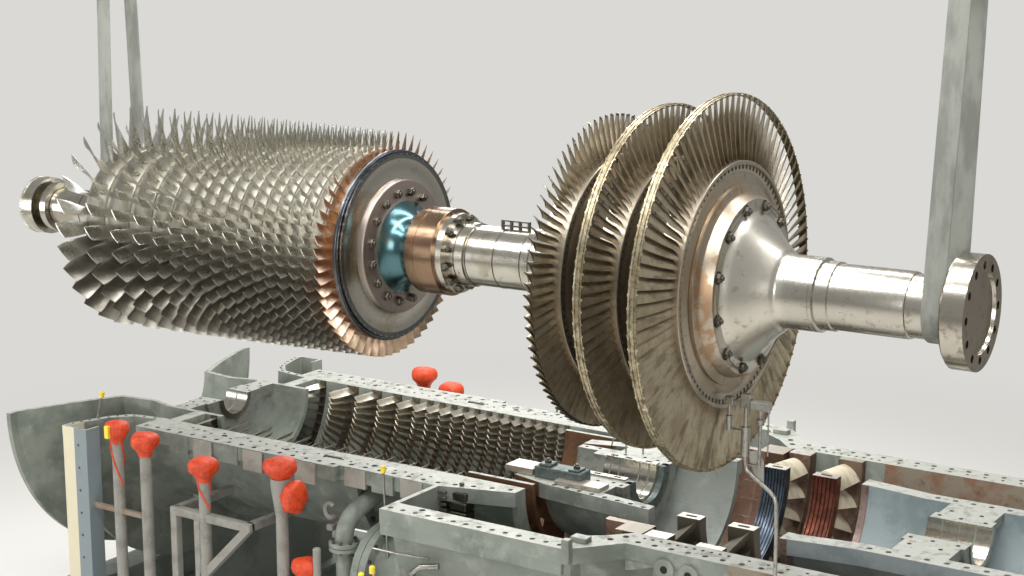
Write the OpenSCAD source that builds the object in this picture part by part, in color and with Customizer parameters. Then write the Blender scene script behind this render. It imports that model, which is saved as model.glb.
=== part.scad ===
/* [Placing] */
// Height of the casing joint plane above the floor
joint_h = 2050; // [1900:10:2300]
// Height of the hoisted rotor's axis above its seat in the casing
rotor_lift = 1800; // [1700:10:2000]
// Distance of the hoisted rotor's axis from the casing centreline, towards the near side
rotor_side = 1460; // [1300:10:1600]

/* [Compressor rotor] */
// Station of the first compressor row, from the coupling face
first_row_x = -2912; // [-2940:1:-2890]
// Distances between neighbouring compressor rows, front to rear
row_gaps = [289, 252, 214, 186, 136, 124, 122, 122, 122, 121, 112, 110, 109, 109, 109, 109];
// Tip radius of the first compressor row
comp_tip_first = 830; // [810:5:850]
// Tip radius of the last compressor row
comp_tip_last = 776; // [760:2:790]
// Radius of the drum at the first row
hub_first = 520; // [500:5:560]
// Radius of the drum at the last row
hub_last = 655; // [640:5:670]
// Number of blades in each compressor row, front to rear
blade_counts = [30, 30, 34, 38, 42, 45, 48, 50, 52, 54, 56, 58, 60, 60, 60, 60, 56];
// Number of tie bolts round the last wheel
tie_bolts = 16; // [12:1:20]
// Radius of the circle of tie bolts
tie_bolt_circle = 376; // [360:2:390]

/* [Compressor stator] */
// Number of vanes in the lower half of the first stator row
vanes_first = 36; // [28:1:40]
// Number of vanes in the lower half of the last stator row
vanes_last = 48; // [40:1:54]
// Chord of the first stator row's vanes
vane_chord_first = 80; // [70:1:90]
// Chord of the last stator row's vanes
vane_chord_last = 50; // [40:1:56]
// Number of inlet guide vanes in the lower half
guide_vanes = 32; // [24:1:36]
// Station of the inlet guide vanes
guide_x = -3115; // [-3125:1:-3105]

/* [Turbine rotor] */
// Tip radii of the three turbine wheels
turbine_tip = [987, 1070, 1150];
// Stations of the rear rims of the three turbine wheels
turbine_rear_x = [1279, 1663, 2065];
// Width of a turbine wheel's rim
turbine_rim_w = 140; // [120:1:145]
// Radius of the bucket platforms
platform_r = 751; // [730:1:760]
// Number of buckets on each turbine wheel
buckets = 92; // [60:2:96]
// Radius of the spacers between the turbine wheels
spacer_r = 610; // [580:5:625]

/* [Shafts and couplings] */
// Radius of the second bearing's journal
journal_r = 200; // [190:1:205]
// Radius of the first bearing's journal
front_journal_r = 150; // [130:1:160]
// Radius of the collar at the front end
collar_r = 221; // [200:1:230]
// Station of the front collar's outer face
collar_x = -4046; // [-4100:1:-4000]
// Radius of the coupling between compressor and turbine
coupling_r = 293; // [280:1:300]
// Width of the compressor side of that coupling
coupling_w = 220; // [180:1:240]
// Radius of the load coupling
load_r = 331; // [320:1:340]
// Station of the load coupling's outer face
load_x = 3584; // [3540:1:3620]
// Thickness of the load coupling
load_t = 140; // [120:1:160]
// Diameter of the load coupling's bolt circle
load_pcd = 540; // [520:1:560]
// Number of holes in the load coupling
load_holes = 12; // [8:1:16]
// Radius of the holes in the load coupling
load_hole_r = 24; // [18:1:28]

/* [Casing] */
// Thickness of the compressor casing's wall
comp_wall = 45; // [35:1:60]
// Running clearance between blade tips and casing
tip_gap = 20; // [10:1:30]
// Width of the turbine's and wrapper's joint flanges, outside the wall
flange_w = 150; // [120:5:180]
// Reach of the compressor's joint flanges at the front
comp_flange_front = 1150; // [1120:5:1180]
// Reach of the compressor's joint flanges at the rear
comp_flange_rear = 1090; // [1060:5:1110]
// Thickness of the joint flanges
flange_t = 110; // [80:5:130]
// Radius of a joint bolt's hole
joint_hole_r = 20; // [14:1:26]
// Outer radius of the wrapper round the combustion section
wrapper_r = 1600; // [1570:5:1610]
// Outer radius of the inlet's two rims
inlet_r = 1470; // [1440:5:1500]
// Station of the bellmouth's rim
inlet_x = -3930; // [-3950:5:-3910]
// Station of the inlet's front rim
inlet_front_x = -4600; // [-4660:5:-4580]
// Station of the exhaust frame's rear end
exhaust_x = 4150; // [4100:10:4180]

/* [Base] */
// Height of the base beams
base_h = 400; // [360:10:420]
// Width of a base beam's flange
base_w = 300; // [240:10:340]
// Distance of the long base beams from the centreline
base_y = 1400; // [1380:5:1420]
// Distance of an anchor hole from its beam's web
anchor_out = 80; // [60:5:110]
// Distance of the anchor holes from the middle of the machine
anchor_x = 3800; // [3400:50:3900]
// Radius of the anchor holes
anchor_r = 20; // [14:1:26]

/* [Slings] */
// Width of both slings' webbing
sling_w = 125; // [110:5:130]
// Thickness of a sling's webbing
sling_t = 16; // [10:1:22]
// Height of the slings' shackle pins above the rotor's axis
sling_h = 1950; // [1900:10:2100]
// Radius of a sling's shackle pin
sling_pin_r = 120; // [90:5:140]
// Lean of the rear sling towards the exhaust end at its top
sling_lean = 60; // [0:5:80]

/* [Hidden] */
$fn = 96;
// Overlap that joins two solids of one piece
sink = 12;
// Gap between a piece and what it seats on where both are round
seat_gap = 0.3;
rotor_steel = [0.47, 0.46, 0.42];
casing_grey = [0.50, 0.53, 0.51];
shaft_steel = [0.62, 0.60, 0.55];
last_row = len(row_gaps);

// Share of the way from the first row to the last
function part_way(i) = i / last_row;

// Distance from row i to the next one
function pitch(i) = row_gaps[min(i, last_row - 1)];

// Station of compressor row i, counted from 0
function row_x(i) = i == 0 ? first_row_x : row_x(i - 1) + pitch(i - 1);

// Radius of the drum at row i, rising fast at first
function hub_r(i) = hub_first + (hub_last - hub_first) * (1 - pow(1 - part_way(i), 1.6));

// Tip radius of row i
function tip_r(i) = comp_tip_first + (comp_tip_last - comp_tip_first) * part_way(i);

// Chord of the blades in row i, longer again in the last row
function blade_chord(i) = i == last_row ? pitch(i) * 0.79 : pitch(i) * 0.58 + 7;

// Outline of a cambered aerofoil with its chord along X and its middle at the origin
function foil(chord, camber, thick) = [
    for (k = [[0, 0], [0.28, 1], [0.68, 1], [1, 0], [0.5, -1]])
        let (t = k[0])
        [chord * (t - 0.5), 4 * t * (1 - t) * chord * (camber + k[1] * thick / 2 * (1.4 - t))]
];

// Turned solid about the X axis, from an outline of [radius, station] points
module turned(outline) {
    rotate([0, 90, 0])
        rotate_extrude()
            polygon(outline);
}

// Lower half of a turned solid
module lower_half(outline) {
    rotate([0, 90, 0])
        rotate([0, 0, -90])
            rotate_extrude(angle = 180)
                polygon(outline);
}

// Straight cylinder along X from station a to station b
module bar(r, a, b) {
    translate([a, 0, 0])
        rotate([0, 90, 0])
            cylinder(r = r, h = b - a);
}

// Ring of aerofoil prisms standing on radius root_r
module blade_ring(count, root_r, tip_r, chord, stagger, camber, thick, from = 0, span = 360) {
    for (i = [0:count - 1])
        rotate([from + (i + 0.5) * span / count, 0, 0])
            translate([0, 0, root_r])
                rotate([0, 0, stagger])
                    linear_extrude(tip_r - root_r)
                        polygon(foil(chord, camber, thick));
}

// Puts a piece on the hoisted rotor's axis
module on_rotor() {
    translate([0, -rotor_side, joint_h + rotor_lift])
        children();
}

// Puts a piece on the casing's axis
module on_casing() {
    translate([0, 0, joint_h])
        children();
}

// Front and rear faces of compressor wheel i
first_wheel_lead = 88;
comp_rear_x = -494;
function wheel_front(i) = i == 0 ? first_row_x - first_wheel_lead : row_x(i) - pitch(i - 1) / 2;
function wheel_rear(i) = i == last_row ? comp_rear_x : row_x(i) + pitch(i) / 2;

// Wheel i with its own row of blades, leading edges up on the near side
module compressor_wheel(i) {
    a = wheel_front(i);
    b = wheel_rear(i);
    land = (b - a) * 0.12;
    color(rotor_steel)
    on_rotor()
    union() {
        turned([[0, a], [hub_r(i) - 8, a], [hub_r(i) - 8, a + land], [hub_r(i), a + land],
            [hub_r(i), b - land], [hub_r(i) - 8, b - land], [hub_r(i) - 8, b], [0, b]]);
        translate([row_x(i), 0, 0])
            blade_ring(blade_counts[i], hub_r(i) - sink, tip_r(i), blade_chord(i), -52, -0.07, 0.09);
    }
}

// Radius of the shaft where the front sling carries it
front_seat_r = front_journal_r + 25;

module front_shaft() {
    front = wheel_front(0);
    color(shaft_steel)
    on_rotor()
    turned([[0, collar_x], [collar_r - 20, collar_x], [collar_r, collar_x + 15],
        [collar_r, collar_x + 130], [front_journal_r - 20, collar_x + 135],
        [front_journal_r - 20, collar_x + 190], [collar_r - 30, collar_x + 192],
        [collar_r - 30, collar_x + 250], [front_journal_r, collar_x + 255],
        [front_journal_r, front - 330], [front_seat_r, front - 325],
        [front_seat_r, front - 25], [hub_first * 0.7, front - 20],
        [hub_first * 0.7, front], [0, front]]);
}

module compressor_rear_stub() {
    back = wheel_rear(last_row);
    color([0.45, 0.47, 0.46])
    on_rotor()
    union() {
        turned([[0, back], [hub_last - 30, back], [hub_last - 45, back + 20], [hub_last - 120, back + 15],
            [hub_last - 190, back + 20], [hub_last - 205, back + 55], [tie_bolt_circle - 45, back + 60],
            [tie_bolt_circle - 75, back + 75], [240, back + 130], [215, back + 200], [215, -coupling_w],
            [coupling_r, -coupling_w], [coupling_r, 0], [0, 0]]);
        for (i = [0:tie_bolts - 1])
            rotate([(i + 0.5) * 360 / tie_bolts, 0, 0])
                translate([0, 0, tie_bolt_circle])
                    bar(20, back + 50, back + 84);
    }
}

module turbine_front_shaft() {
    front = turbine_rear_x[0] - turbine_rim_w;
    color(shaft_steel)
    on_rotor()
    turned([[0, 0], [coupling_r - 25, 0], [coupling_r - 25, 60], [journal_r + 12, 62],
        [journal_r + 12, 190], [journal_r, 195], [journal_r, 640], [journal_r + 14, 645],
        [journal_r + 14, 860], [journal_r + 60, 900], [platform_r * 0.55, front - 60],
        [platform_r * 0.6, front], [0, front]]);
}

module turbine_wheel(k) {
    b = turbine_rear_x[k];
    a = b - turbine_rim_w;
    tip = turbine_tip[k];
    rim = platform_r - 25;
    chord = [105, 125, 150][k];
    color([0.42, 0.39, 0.34])
    on_rotor()
    union() {
        turned([[0, a], [spacer_r + 40, a], [rim - 30, a + 10], [rim, a + 5], [platform_r, a - 10],
            [platform_r, b + 10], [rim, b + 5], [rim - 30, b - 10], [spacer_r + 40, b], [0, b]]);
        translate([(a + b) / 2, 0, 0])
            blade_ring(buckets, platform_r - sink, tip - (k > 0 ? 14 : 0), chord, -36 - 8 * k, 0.16, 0.16);
        if (k > 0)
            translate([(a + b) / 2, 0, 0])
                tip_band(tip, tip_band_w);
    }
}

// Width of the band of tip shrouds round the second and third wheels' buckets
tip_band_w = 64;

// Band of tip shrouds of radius r and width w about station 0, with two seal teeth round it
module tip_band(r, w) {
    turned([[r - 18, -w / 2], [r - 4, -w / 2], [r - 4, -w / 4], [r, -w / 4], [r, -w / 4 + 6],
        [r - 4, -w / 4 + 6], [r - 4, w / 4 - 6], [r, w / 4 - 6], [r, w / 4], [r - 4, w / 4], [r - 4, w / 2],
        [r - 18, w / 2]]);
}

module turbine_spacers() {
    color([0.30, 0.29, 0.27])
    on_rotor()
    for (k = [0, 1]) {
        a = turbine_rear_x[k];
        b = turbine_rear_x[k + 1] - turbine_rim_w;
        turned([[0, a], [spacer_r, a], [spacer_r, a + 60], [spacer_r + 10, a + 60], [spacer_r + 10, a + 72],
            [spacer_r, a + 72], [spacer_r, b - 72], [spacer_r + 10, b - 72], [spacer_r + 10, b - 60],
            [spacer_r, b - 60], [spacer_r, b], [0, b]]);
    }
}

module turbine_rear_shaft() {
    a = turbine_rear_x[2];
    b = load_x - load_t;
    color([0.60, 0.57, 0.52])
    on_rotor()
    union() {
        turned([[0, a], [610, a], [610, a + 30], [560, a + 45], [545, a + 90], [535, a + 110],
            [455, a + 130], [430, a + 150], [330, a + 255], [240, a + 345], [222, a + 365],
            [222, 2650], [205, 2655], [205, 2735], [rear_journal_r, 2740], [rear_journal_r, 3190],
            [rear_seat_r, 3195], [rear_seat_r, b], [0, b]]);
        for (i = [0:11])
            rotate([(i + 0.5) * 30, 0, 0])
                translate([0, 0, 488])
                    bar(26, a + 100, a + 142);
    }
}

// Radii of the third journal and of the shaft where the rear sling carries it
rear_journal_r = 196;
rear_seat_r = 185;

module load_coupling() {
    color([0.48, 0.45, 0.41])
    on_rotor()
    difference() {
        turned([[0, load_x - load_t], [load_r - 12, load_x - load_t], [load_r, load_x - load_t + 12],
            [load_r, load_x], [load_r - 95, load_x], [load_r - 103, load_x - 20], [0, load_x - 20]]);
        for (i = [0:load_holes - 1])
            rotate([i * 360 / load_holes, 0, 0])
                translate([0, 0, load_pcd / 2])
                    bar(load_hole_r, load_x - load_t - 1, load_x + 1);
    }
}

// Part of a ring about the X axis, from station a over width w, starting at angle from
module arc_band(r_in, r_out, a, w, from, sweep) {
    translate([a, 0, 0])
        rotate([0, 90, 0])
            rotate([0, 0, from])
                rotate_extrude(angle = sweep)
                    polygon([[r_in, 0], [r_out, 0], [r_out, w], [r_in, w]]);
}

// Endless webbing sling round a shaft of radius r at station x and over a shackle's pin above
module sling(x, r, lean) {
    w = sling_w;
    inner = r + seat_gap;
    turn = asin((inner - sling_pin_r) / sling_h);
    leg = sling_h * cos(turn);
    ear = w / 2 + 45;
    union() {
        arc_band(inner, inner + sling_t, x - w / 2, w, -90 - turn, 180 + 2 * turn);
        for (s = [-1, 1])
            rotate([s * turn, 0, 0])
                translate([x, s > 0 ? inner + sling_t : -inner, 0])
                    rotate([90, 0, 0])
                        linear_extrude(sling_t)
                            polygon([[-w / 2, -1], [w / 2, -1],
                                [w / 2 + lean, leg + 1], [-w / 2 + lean, leg + 1]]);
        translate([0, 0, sling_h]) {
            arc_band(sling_pin_r, sling_pin_r + sling_t, x + lean - w / 2, w, 90 + turn, 180 - 2 * turn);
            bar_at(x + lean, sling_pin_r + 1, 2 * ear);
            for (s = [-1, 1])
                bar_at(x + lean + s * (w / 2 + 15), sling_pin_r + sling_t + 14, 22);
            translate([x + lean, 0, 0])
                rotate([90, 0, 0])
                    rotate_extrude(angle = 180)
                        translate([ear + 20, 0])
                            circle(32, $fn = 32);
            translate([x + lean, 0, ear])
                cylinder(r = 46, h = 130);
        }
    }
}

// Cylinder of length len along X with its middle at station x
module bar_at(x, r, len) {
    bar(r, x - len / 2, x + len / 2);
}

module slings() {
    color([0.55, 0.55, 0.52])
    on_rotor() {
        sling(wheel_front(0) - 100, front_seat_r, 0);
        sling(load_x - load_t - sling_w / 2 - 18, rear_seat_r, sling_lean);
    }
}

// Plain half shell with straight wall, from station a to b
module half_tube(r_in, r_out, a, b) {
    lower_half([[r_in, a], [r_out, a], [r_out, b], [r_in, b]]);
}

// Pair of joint flanges, one each side, of an outline of [station, distance] points
module flange_pair(outline, holes) {
    for (s = [-1, 1])
        difference() {
            translate([0, 0, -flange_t])
                linear_extrude(flange_t)
                    polygon([for (p = outline) [p[0], s * p[1]]]);
            for (h = holes)
                translate([h[0], s * h[1], -flange_t - 1])
                    cylinder(r = joint_hole_r, h = flange_t + 2, $fn = 24);
        }
}

// Straight pair of joint flanges with a row of bolt holes
module joint_flanges(y_in, y_out, a, b, holes) {
    flange_pair([[a, y_in], [b, y_in], [b, y_out], [a, y_out]],
        [for (i = [0:holes - 1]) [a + (i + 0.5) * (b - a) / holes, y_out - hole_in]]);
}
// Distance of the joint bolts' holes from the flange's outer edge
hole_in = 63;

// Inner radius of the compressor casing's bore at station x, level after the last row
function bore_r(x) =
    let (t = min(1, (x - first_row_x) / (row_x(last_row) - first_row_x)))
    tip_gap + comp_tip_first + (comp_tip_last - comp_tip_first) * t;
comp_a = wheel_front(0) - 50;
comp_b = 120;
// Station and half width of the ring flange that joins the compressor casing's two lengths
ring_x = -1350;
ring_half = 35;

module compressor_casing() {
    r_a = bore_r(comp_a);
    r_b = bore_r(row_x(last_row));
    r_mid = bore_r(ring_x) + comp_wall;
    color(casing_grey)
    on_casing()
    union() {
        lower_half([[r_a, comp_a], [r_a + comp_wall + 70, comp_a], [r_a + comp_wall + 70, comp_a + 60],
            [r_a + comp_wall, comp_a + 70], [r_mid, ring_x - ring_half - 10],
            [r_mid + 95, ring_x - ring_half], [r_mid + 95, ring_x + ring_half],
            [r_mid, ring_x + ring_half + 10], [r_b + comp_wall, row_x(last_row)],
            [r_b + comp_wall, comp_b - 60], [r_b + comp_wall + 60, comp_b - 50],
            [r_b + comp_wall + 60, comp_b], [r_b, comp_b], [r_b, row_x(last_row)]]);
        joint_flanges(r_a + 1, comp_flange_front, comp_a, ring_x, 13);
        flange_pair([[ring_x - 1, r_mid - comp_wall + 4], [comp_b, r_mid - comp_wall + 4],
            [comp_b, comp_flange_end], [taper_x, comp_flange_rear], [ring_x - 1, comp_flange_rear]],
            [for (x = rear_holes) [x, comp_edge(x) - hole_in]]);
        for (side = [0, 1])
            mirror([0, side, 0])
                bleed_elbow(bore_r(bleed_x) + comp_wall);
    }
}

// Rear end of the compressor's joint flanges: they narrow from station taper_x to their end
taper_x = -430;
comp_flange_end = 925;
rear_holes = [for (i = [0:10]) ring_x - 1 + (i + 0.5) * (comp_b - ring_x + 1) / 11];

// Distance of the joint flange's outer edge from the centreline at station x
function comp_edge(x) =
    comp_flange_rear - (comp_flange_rear - comp_flange_end) * max(0, (x - taper_x) / (comp_b - taper_x));

// Radius, bend and place of the bleed pipes that leave the casing and go down to the base
bleed_r = 68;
bleed_bend = 170;
bleed_x = -1150;
bleed_y = 1290;
// Angle below the joint plane at which they leave, radius and thickness of their flanges
bleed_ang = 15;
bleed_flange_r = bleed_r + 48;
bleed_flange_t = 28;
// Width of the weld bead between the stub and the bend
bead_w = 20;

// Bleed pipe on the +Y side: a stub out of a wall of radius r, a bend, a flanged joint and the pipe below
module bleed_elbow(r) {
    out = (bleed_y - bleed_bend * (1 - sin(bleed_ang))) / cos(bleed_ang);
    drop = out * sin(bleed_ang) + bleed_bend * cos(bleed_ang);
    foot = base_h - joint_h;
    translate([bleed_x, 0, 0])
        rotate([-90 - bleed_ang, 0, 0]) {
            translate([0, 0, r - sink])
                cylinder(r = bleed_r, h = out - r + sink);
            translate([0, 0, out - bead_w / 2])
                cylinder(r = bleed_r + 4, h = bead_w);
        }
    translate([bleed_x, bleed_y - bleed_bend, -drop])
        rotate([90, 0, 90])
            rotate_extrude(angle = 90 - bleed_ang)
                translate([bleed_bend, 0])
                    circle(bleed_r, $fn = 48);
    translate([bleed_x, bleed_y, foot]) {
        cylinder(r = bleed_r, h = -drop - foot);
        for (z = [0, -drop - foot - 3 * bleed_flange_t, -drop - foot - 1.8 * bleed_flange_t])
            translate([0, 0, z])
                cylinder(r = bleed_flange_r, h = bleed_flange_t);
    }
}

// Thickness of the strips that the stator vanes stand on
strip_t = 10;
vane_stagger = 38;
guide_stagger = 16;

// Half ring of count vanes on its own carrier strip of width w, fitted to the casing's bore
module vane_row(x, w, inner, count, chord) {
    a = x - w / 2;
    b = x + w / 2;
    union() {
        lower_half([[bore_r(a) - seat_gap - strip_t, a], [bore_r(a) - seat_gap, a],
            [bore_r(b) - seat_gap, b], [bore_r(b) - seat_gap - strip_t, b]]);
        translate([x, 0, 0])
            blade_ring(count, inner, bore_r(b) - strip_t / 2, chord, vane_stagger, 0.08, 0.10, 90, 180);
    }
}

// Stator rows a to b, each halfway between two rotor rows
module stator_rows(a, b) {
    for (i = [a:b])
        vane_row(row_x(i) + pitch(i) * 0.5, pitch(i) * 0.40,
            (hub_r(i) + hub_r(min(i + 1, last_row))) / 2 + 10,
            round(vanes_first + (vanes_last - vanes_first) * part_way(i)),
            vane_chord_first + (vane_chord_last - vane_chord_first) * pow(part_way(i), 0.6));
}

// Half ring of inlet guide vanes between the inlet's bore and its inner barrel
module guide_vane_ring() {
    outer = bore_r(comp_a) - seat_gap;
    inner = cone_out + seat_gap;
    union() {
        half_tube(outer - strip_t, outer, guide_x - 30, guide_x + 30);
        half_tube(inner, inner + strip_t, guide_x - 30, guide_x + 30);
        translate([guide_x, 0, 0])
            blade_ring(guide_vanes, inner + strip_t / 2, outer - strip_t / 2, vane_chord_first,
                guide_stagger, 0.05, 0.10, 90, 180);
    }
}

module front_stator_vanes() {
    color([0.45, 0.41, 0.35])
    on_casing() {
        guide_vane_ring();
        stator_rows(0, 4);
    }
}

module middle_stator_vanes() {
    color([0.45, 0.41, 0.35])
    on_casing()
    stator_rows(5, 10);
}

module rear_stator_vanes() {
    color([0.45, 0.41, 0.35])
    on_casing()
    stator_rows(11, last_row);
}

// Radii of the inlet's inner barrel, which carries the first bearing, and its rear end
cone_in = 520;
cone_out = 560;
cone_end = wheel_front(0) - 40;
// Rear edge of the struts between the inner barrel and the bore
strut_end = -3210;
// Rear face and width of the upright corner angles on the inlet's rim
angle_x = -3650;
angle_w = 145;
angle_t = 20;

module inlet_casing() {
    r_b = bore_r(comp_a);
    y_out = comp_flange_front;
    color(casing_grey)
    on_casing()
    union() {
        lower_half([[r_b, comp_a], [r_b, -3380], [r_b + 50, -3695], [r_b + 205, -3825],
            [inlet_r - 90, inlet_x], [inlet_r, inlet_x], [inlet_r, inlet_x + 50],
            [inlet_r - 80, inlet_x + 55], [r_b + 240, -3780], [r_b + 95, -3640], [r_b + 48, -3380],
            [r_b + 48, comp_a - 60], [r_b + 115, comp_a - 50], [r_b + 115, comp_a]]);
        lower_half([[cone_in, cone_end], [cone_out, cone_end], [cone_out, -3650], [500, -3880],
            [545, -4200], [760, -4310], [960, -4400], [inlet_r - 80, inlet_front_x + 35],
            [inlet_r, inlet_front_x + 45], [inlet_r, inlet_front_x], [inlet_r - 90, inlet_front_x],
            [930, -4435], [740, -4350], [505, -4235], [460, -3890], [cone_in, -3670]]);
        joint_flanges(r_b + 1, y_out, -3420, comp_a, 3);
        for (s = [-1, 1])
            translate([strut_end - 120, s > 0 ? cone_out - sink : -r_b - 20, -70])
                cube([120, r_b + 20 - cone_out + sink, 70]);
        for (ang = [-60, -30, 0, 30, 60])
            rotate([ang, 0, 0])
                translate([strut_end, 0, -r_b - 20])
                    linear_extrude(r_b + 20 - cone_out + sink)
                        polygon([for (q = foil(220, 0, 0.16)) [q[0] - 110, q[1]]]);
        for (side = [0, 1])
            mirror([0, side, 0])
                corner_angle();
    }
}

// Upright angle from the base to the joint plane at the end of the bellmouth's rim, with a column of holes
module corner_angle() {
    y = inlet_r + 4;
    difference() {
        translate([0, 0, base_h - joint_h])
            linear_extrude(joint_h - base_h)
                polygon([[inlet_x + 10, y - angle_t], [angle_x - angle_t, y - angle_t],
                    [angle_x - angle_t, y - angle_w], [angle_x, y - angle_w],
                    [angle_x, y], [inlet_x + 10, y]]);
        for (i = [0:7])
            translate([angle_x - 95, y + 1, base_h - joint_h + 180 + i * 190])
                rotate([90, 0, 0])
                    cylinder(r = 12, h = angle_t + 2, $fn = 16);
    }
}

// Lower half of a bearing housing of an outline, with side arms out to a cone from r_a to r_b
module bearing_half(outline, r, a, b, r_a, r_b, arm_t) {
    union() {
        lower_half(outline);
        difference() {
            intersection() {
                translate([a, -r_b - 1, -arm_t])
                    cube([b - a, 2 * r_b + 2, arm_t]);
                turned([[0, a], [r_a, a], [r_b, b], [0, b]]);
            }
            bar(r - sink, a - 1, b + 1);
        }
    }
}

// Stations and outer radii of the first and third bearings, and their side arms' distance from their ends
bearing_1_x = [-3620, -3400];
bearing_1_r = 330;
bearing_3_x = [2755, 3180];
bearing_3_r = 320;
arm_in = 24;

// Plain bearing of bore r between stations x[0] and x[1], its arms out to a round wall of radius out
module plain_bearing(r, r_out, x, out, arm_t) {
    bearing_half([[r, x[0]], [r_out, x[0]], [r_out, x[1]], [r, x[1]]],
        r_out, x[0] + arm_in, x[1] - arm_in, out, out, arm_t);
}

module bearing_1() {
    color([0.40, 0.42, 0.40])
    on_casing()
    plain_bearing(front_journal_r + 2, bearing_1_r, bearing_1_x, cone_in - seat_gap, 90);
}

// Outline of the barrel inside the combustion section as [station, inner radius] points
barrel_x = [-130, 190, 1090];
barrel_r = [420, 520, 640];
barrel_wall = 50;
// Stations and thickness of the struts between the barrel's front end and the compressor's bore
strut_x = [-110, 70];
strut_t = 30;

// Middle of the barrel's wall at station x before its knee
function barrel_mid(x) =
    let (t = (x - barrel_x[0]) / (barrel_x[1] - barrel_x[0]))
    barrel_r[0] + (barrel_r[1] - barrel_r[0]) * t + barrel_wall / 2;

module inner_barrel() {
    reach = bore_r(row_x(last_row)) - seat_gap;
    color(casing_grey)
    on_casing()
    union() {
        lower_half([[barrel_r[0], barrel_x[0]], [barrel_r[0] + barrel_wall, barrel_x[0]],
            [barrel_r[1] + barrel_wall, barrel_x[1]], [barrel_r[2] + barrel_wall, barrel_x[2]],
            [barrel_r[2], barrel_x[2]], [barrel_r[1], barrel_x[1]]]);
        flange_pair([for (k = [0:2]) [barrel_x[k], barrel_r[k] + 8],
            for (k = [2:-1:0]) [barrel_x[k], barrel_r[k] + [130, 115, 88][k]]],
            [for (k = [0:7]) [barrel_x[1] + 60 + k * 112, barrel_r[1] + 91 + k * 12]]);
        half_tube(hub_last + 10, hub_last + 45, comp_rear_x + 44, comp_b);
        for (ang = [-60, -20, 20, 60])
            rotate([ang, 0, 0])
                translate([0, strut_t / 2, 0])
                    rotate([90, 0, 0])
                        linear_extrude(strut_t)
                            polygon([[strut_x[0], -reach], [strut_x[1], -reach],
                                for (x = [strut_x[1], strut_x[0]]) [x, -barrel_mid(x)]]);
    }
}

// Radius of the inner barrel's inside aft of its knee
function barrel_at(x) =
    barrel_r[1] + (barrel_r[2] - barrel_r[1]) * (x - barrel_x[1]) / (barrel_x[2] - barrel_x[1]) - seat_gap;

module bearing_2() {
    r = journal_r + 2;
    color([0.55, 0.55, 0.52])
    on_casing()
    bearing_half([[coupling_r + 27, -120], [400, -120], [400, 700], [r + 45, 700], [r + 45, 650], [r, 640],
        [r, 200], [r + 28, 195], [r + 28, 75], [coupling_r + 27, 65]],
        400, 220, 640, barrel_at(220), barrel_at(640), 80);
}

// Inner radius and wall of the turbine shell round the last wheel and its shroud
shroud_gap = 12;
shroud_t = 40;
shell_wall = 60;
shell_in = turbine_tip[2] + shroud_gap + shroud_t;
shell_r = shell_in + shell_wall;
wrapper_in = wrapper_r - 40;
wrapper_a = -470;
shell_b = 2040;

// Clearance fore and aft between a wheel's rim lip and the diaphragm beside it
rim_clear = 25;
rim_lip = 10;

module turbine_casing() {
    y_w = wrapper_r + flange_w - 13;
    y_s = shell_r + flange_w;
    color(casing_grey)
    on_casing()
    union() {
        lower_half([[wrapper_in, wrapper_a], [wrapper_r, wrapper_a], [wrapper_r, 990],
            [wrapper_r - 95, 1005], [shell_r + 143, 1130], [shell_r, 1290], [shell_r, shell_b],
            [shell_in, shell_b], [shell_in, 1250], [shell_in + 155, 1107], [wrapper_in - 102, 955],
            [wrapper_in, 940]]);
        difference() {
            half_tube(bore_r(row_x(last_row)) + comp_wall + seat_gap, wrapper_r - sink,
                wrapper_a, wrapper_a + 40);
            translate([wrapper_a - 10, -comp_flange_rear - 1, -flange_t - 1])
                cube([60, 2 * comp_flange_rear + 2, flange_t + 2]);
        }
        for (ang = [-54, -18, 18, 54])
            rotate([ang, 0, 0])
                translate([0, 0, -port_circle])
                    burner_port();
        flange_pair([[wrapper_a, wrapper_in + 8], [945, wrapper_in + 8], [958, wrapper_in - 96],
            [1110, shell_in + 160], [1254, shell_in + 8], [shell_b, shell_in + 8], [shell_b, y_s],
            [1300, y_s], [1080, y_w - 60], [1010, y_w], [wrapper_a, y_w]],
            [for (i = [0:13]) [wrapper_a + (i + 0.5) * 106, y_w - hole_in],
            for (i = [0:5]) [1360 + i * 122, y_s - hole_in]]);
    }
}

// Place and radii of the burners' ports on the wrapper's front wall
port_circle = 1295;
port_r = 285;
port_flange_r = 375;
port_x = -1000;

// Burner port in front of the wrapper, closed by a bolted cover
module burner_port() {
    bar(port_r, port_x, wrapper_a + 20);
    bar(port_flange_r, port_x, port_x + 60);
    bar(port_flange_r, port_x + 66, port_x + 126);
    bar(port_flange_r - 130, port_x - 25, port_x + 1);
}

module first_shroud() {
    rear = turbine_rear_x[0];
    color([0.50, 0.36, 0.28])
    on_casing()
    half_tube(turbine_tip[0] + shroud_gap, shell_in - seat_gap, rear - turbine_rim_w - 40, rear + 20);
}

// Half of the nozzle diaphragm between wheels k and k + 1, with its outer ring from radius tip
module nozzle(k, tip) {
    a = turbine_rear_x[k] + rim_lip + rim_clear;
    b = turbine_rear_x[k + 1] - turbine_rim_w - rim_lip - rim_clear;
    union() {
        half_tube(spacer_r + 22, spacer_r + 90, a, b);
        half_tube(tip, shell_in - seat_gap, a, b);
        translate([(a + b) / 2, 0, 0])
            blade_ring(18, spacer_r + 80, tip + 10, (b - a) * 1.05, 34, -0.10, 0.34, 90, 180);
    }
}

module second_nozzle() {
    color([0.30, 0.27, 0.26])
    on_casing()
    nozzle(0, turbine_tip[1] + 10);
}

module third_nozzle() {
    color([0.34, 0.24, 0.20])
    on_casing()
    nozzle(1, turbine_tip[2] - 20);
}

// Barrel in the exhaust frame as [station, outer radius] points, tapering to the bearing
hub_x = [2090, 2600];
hub_r_out = [680, 600];
hub_wall = 40;

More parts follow.
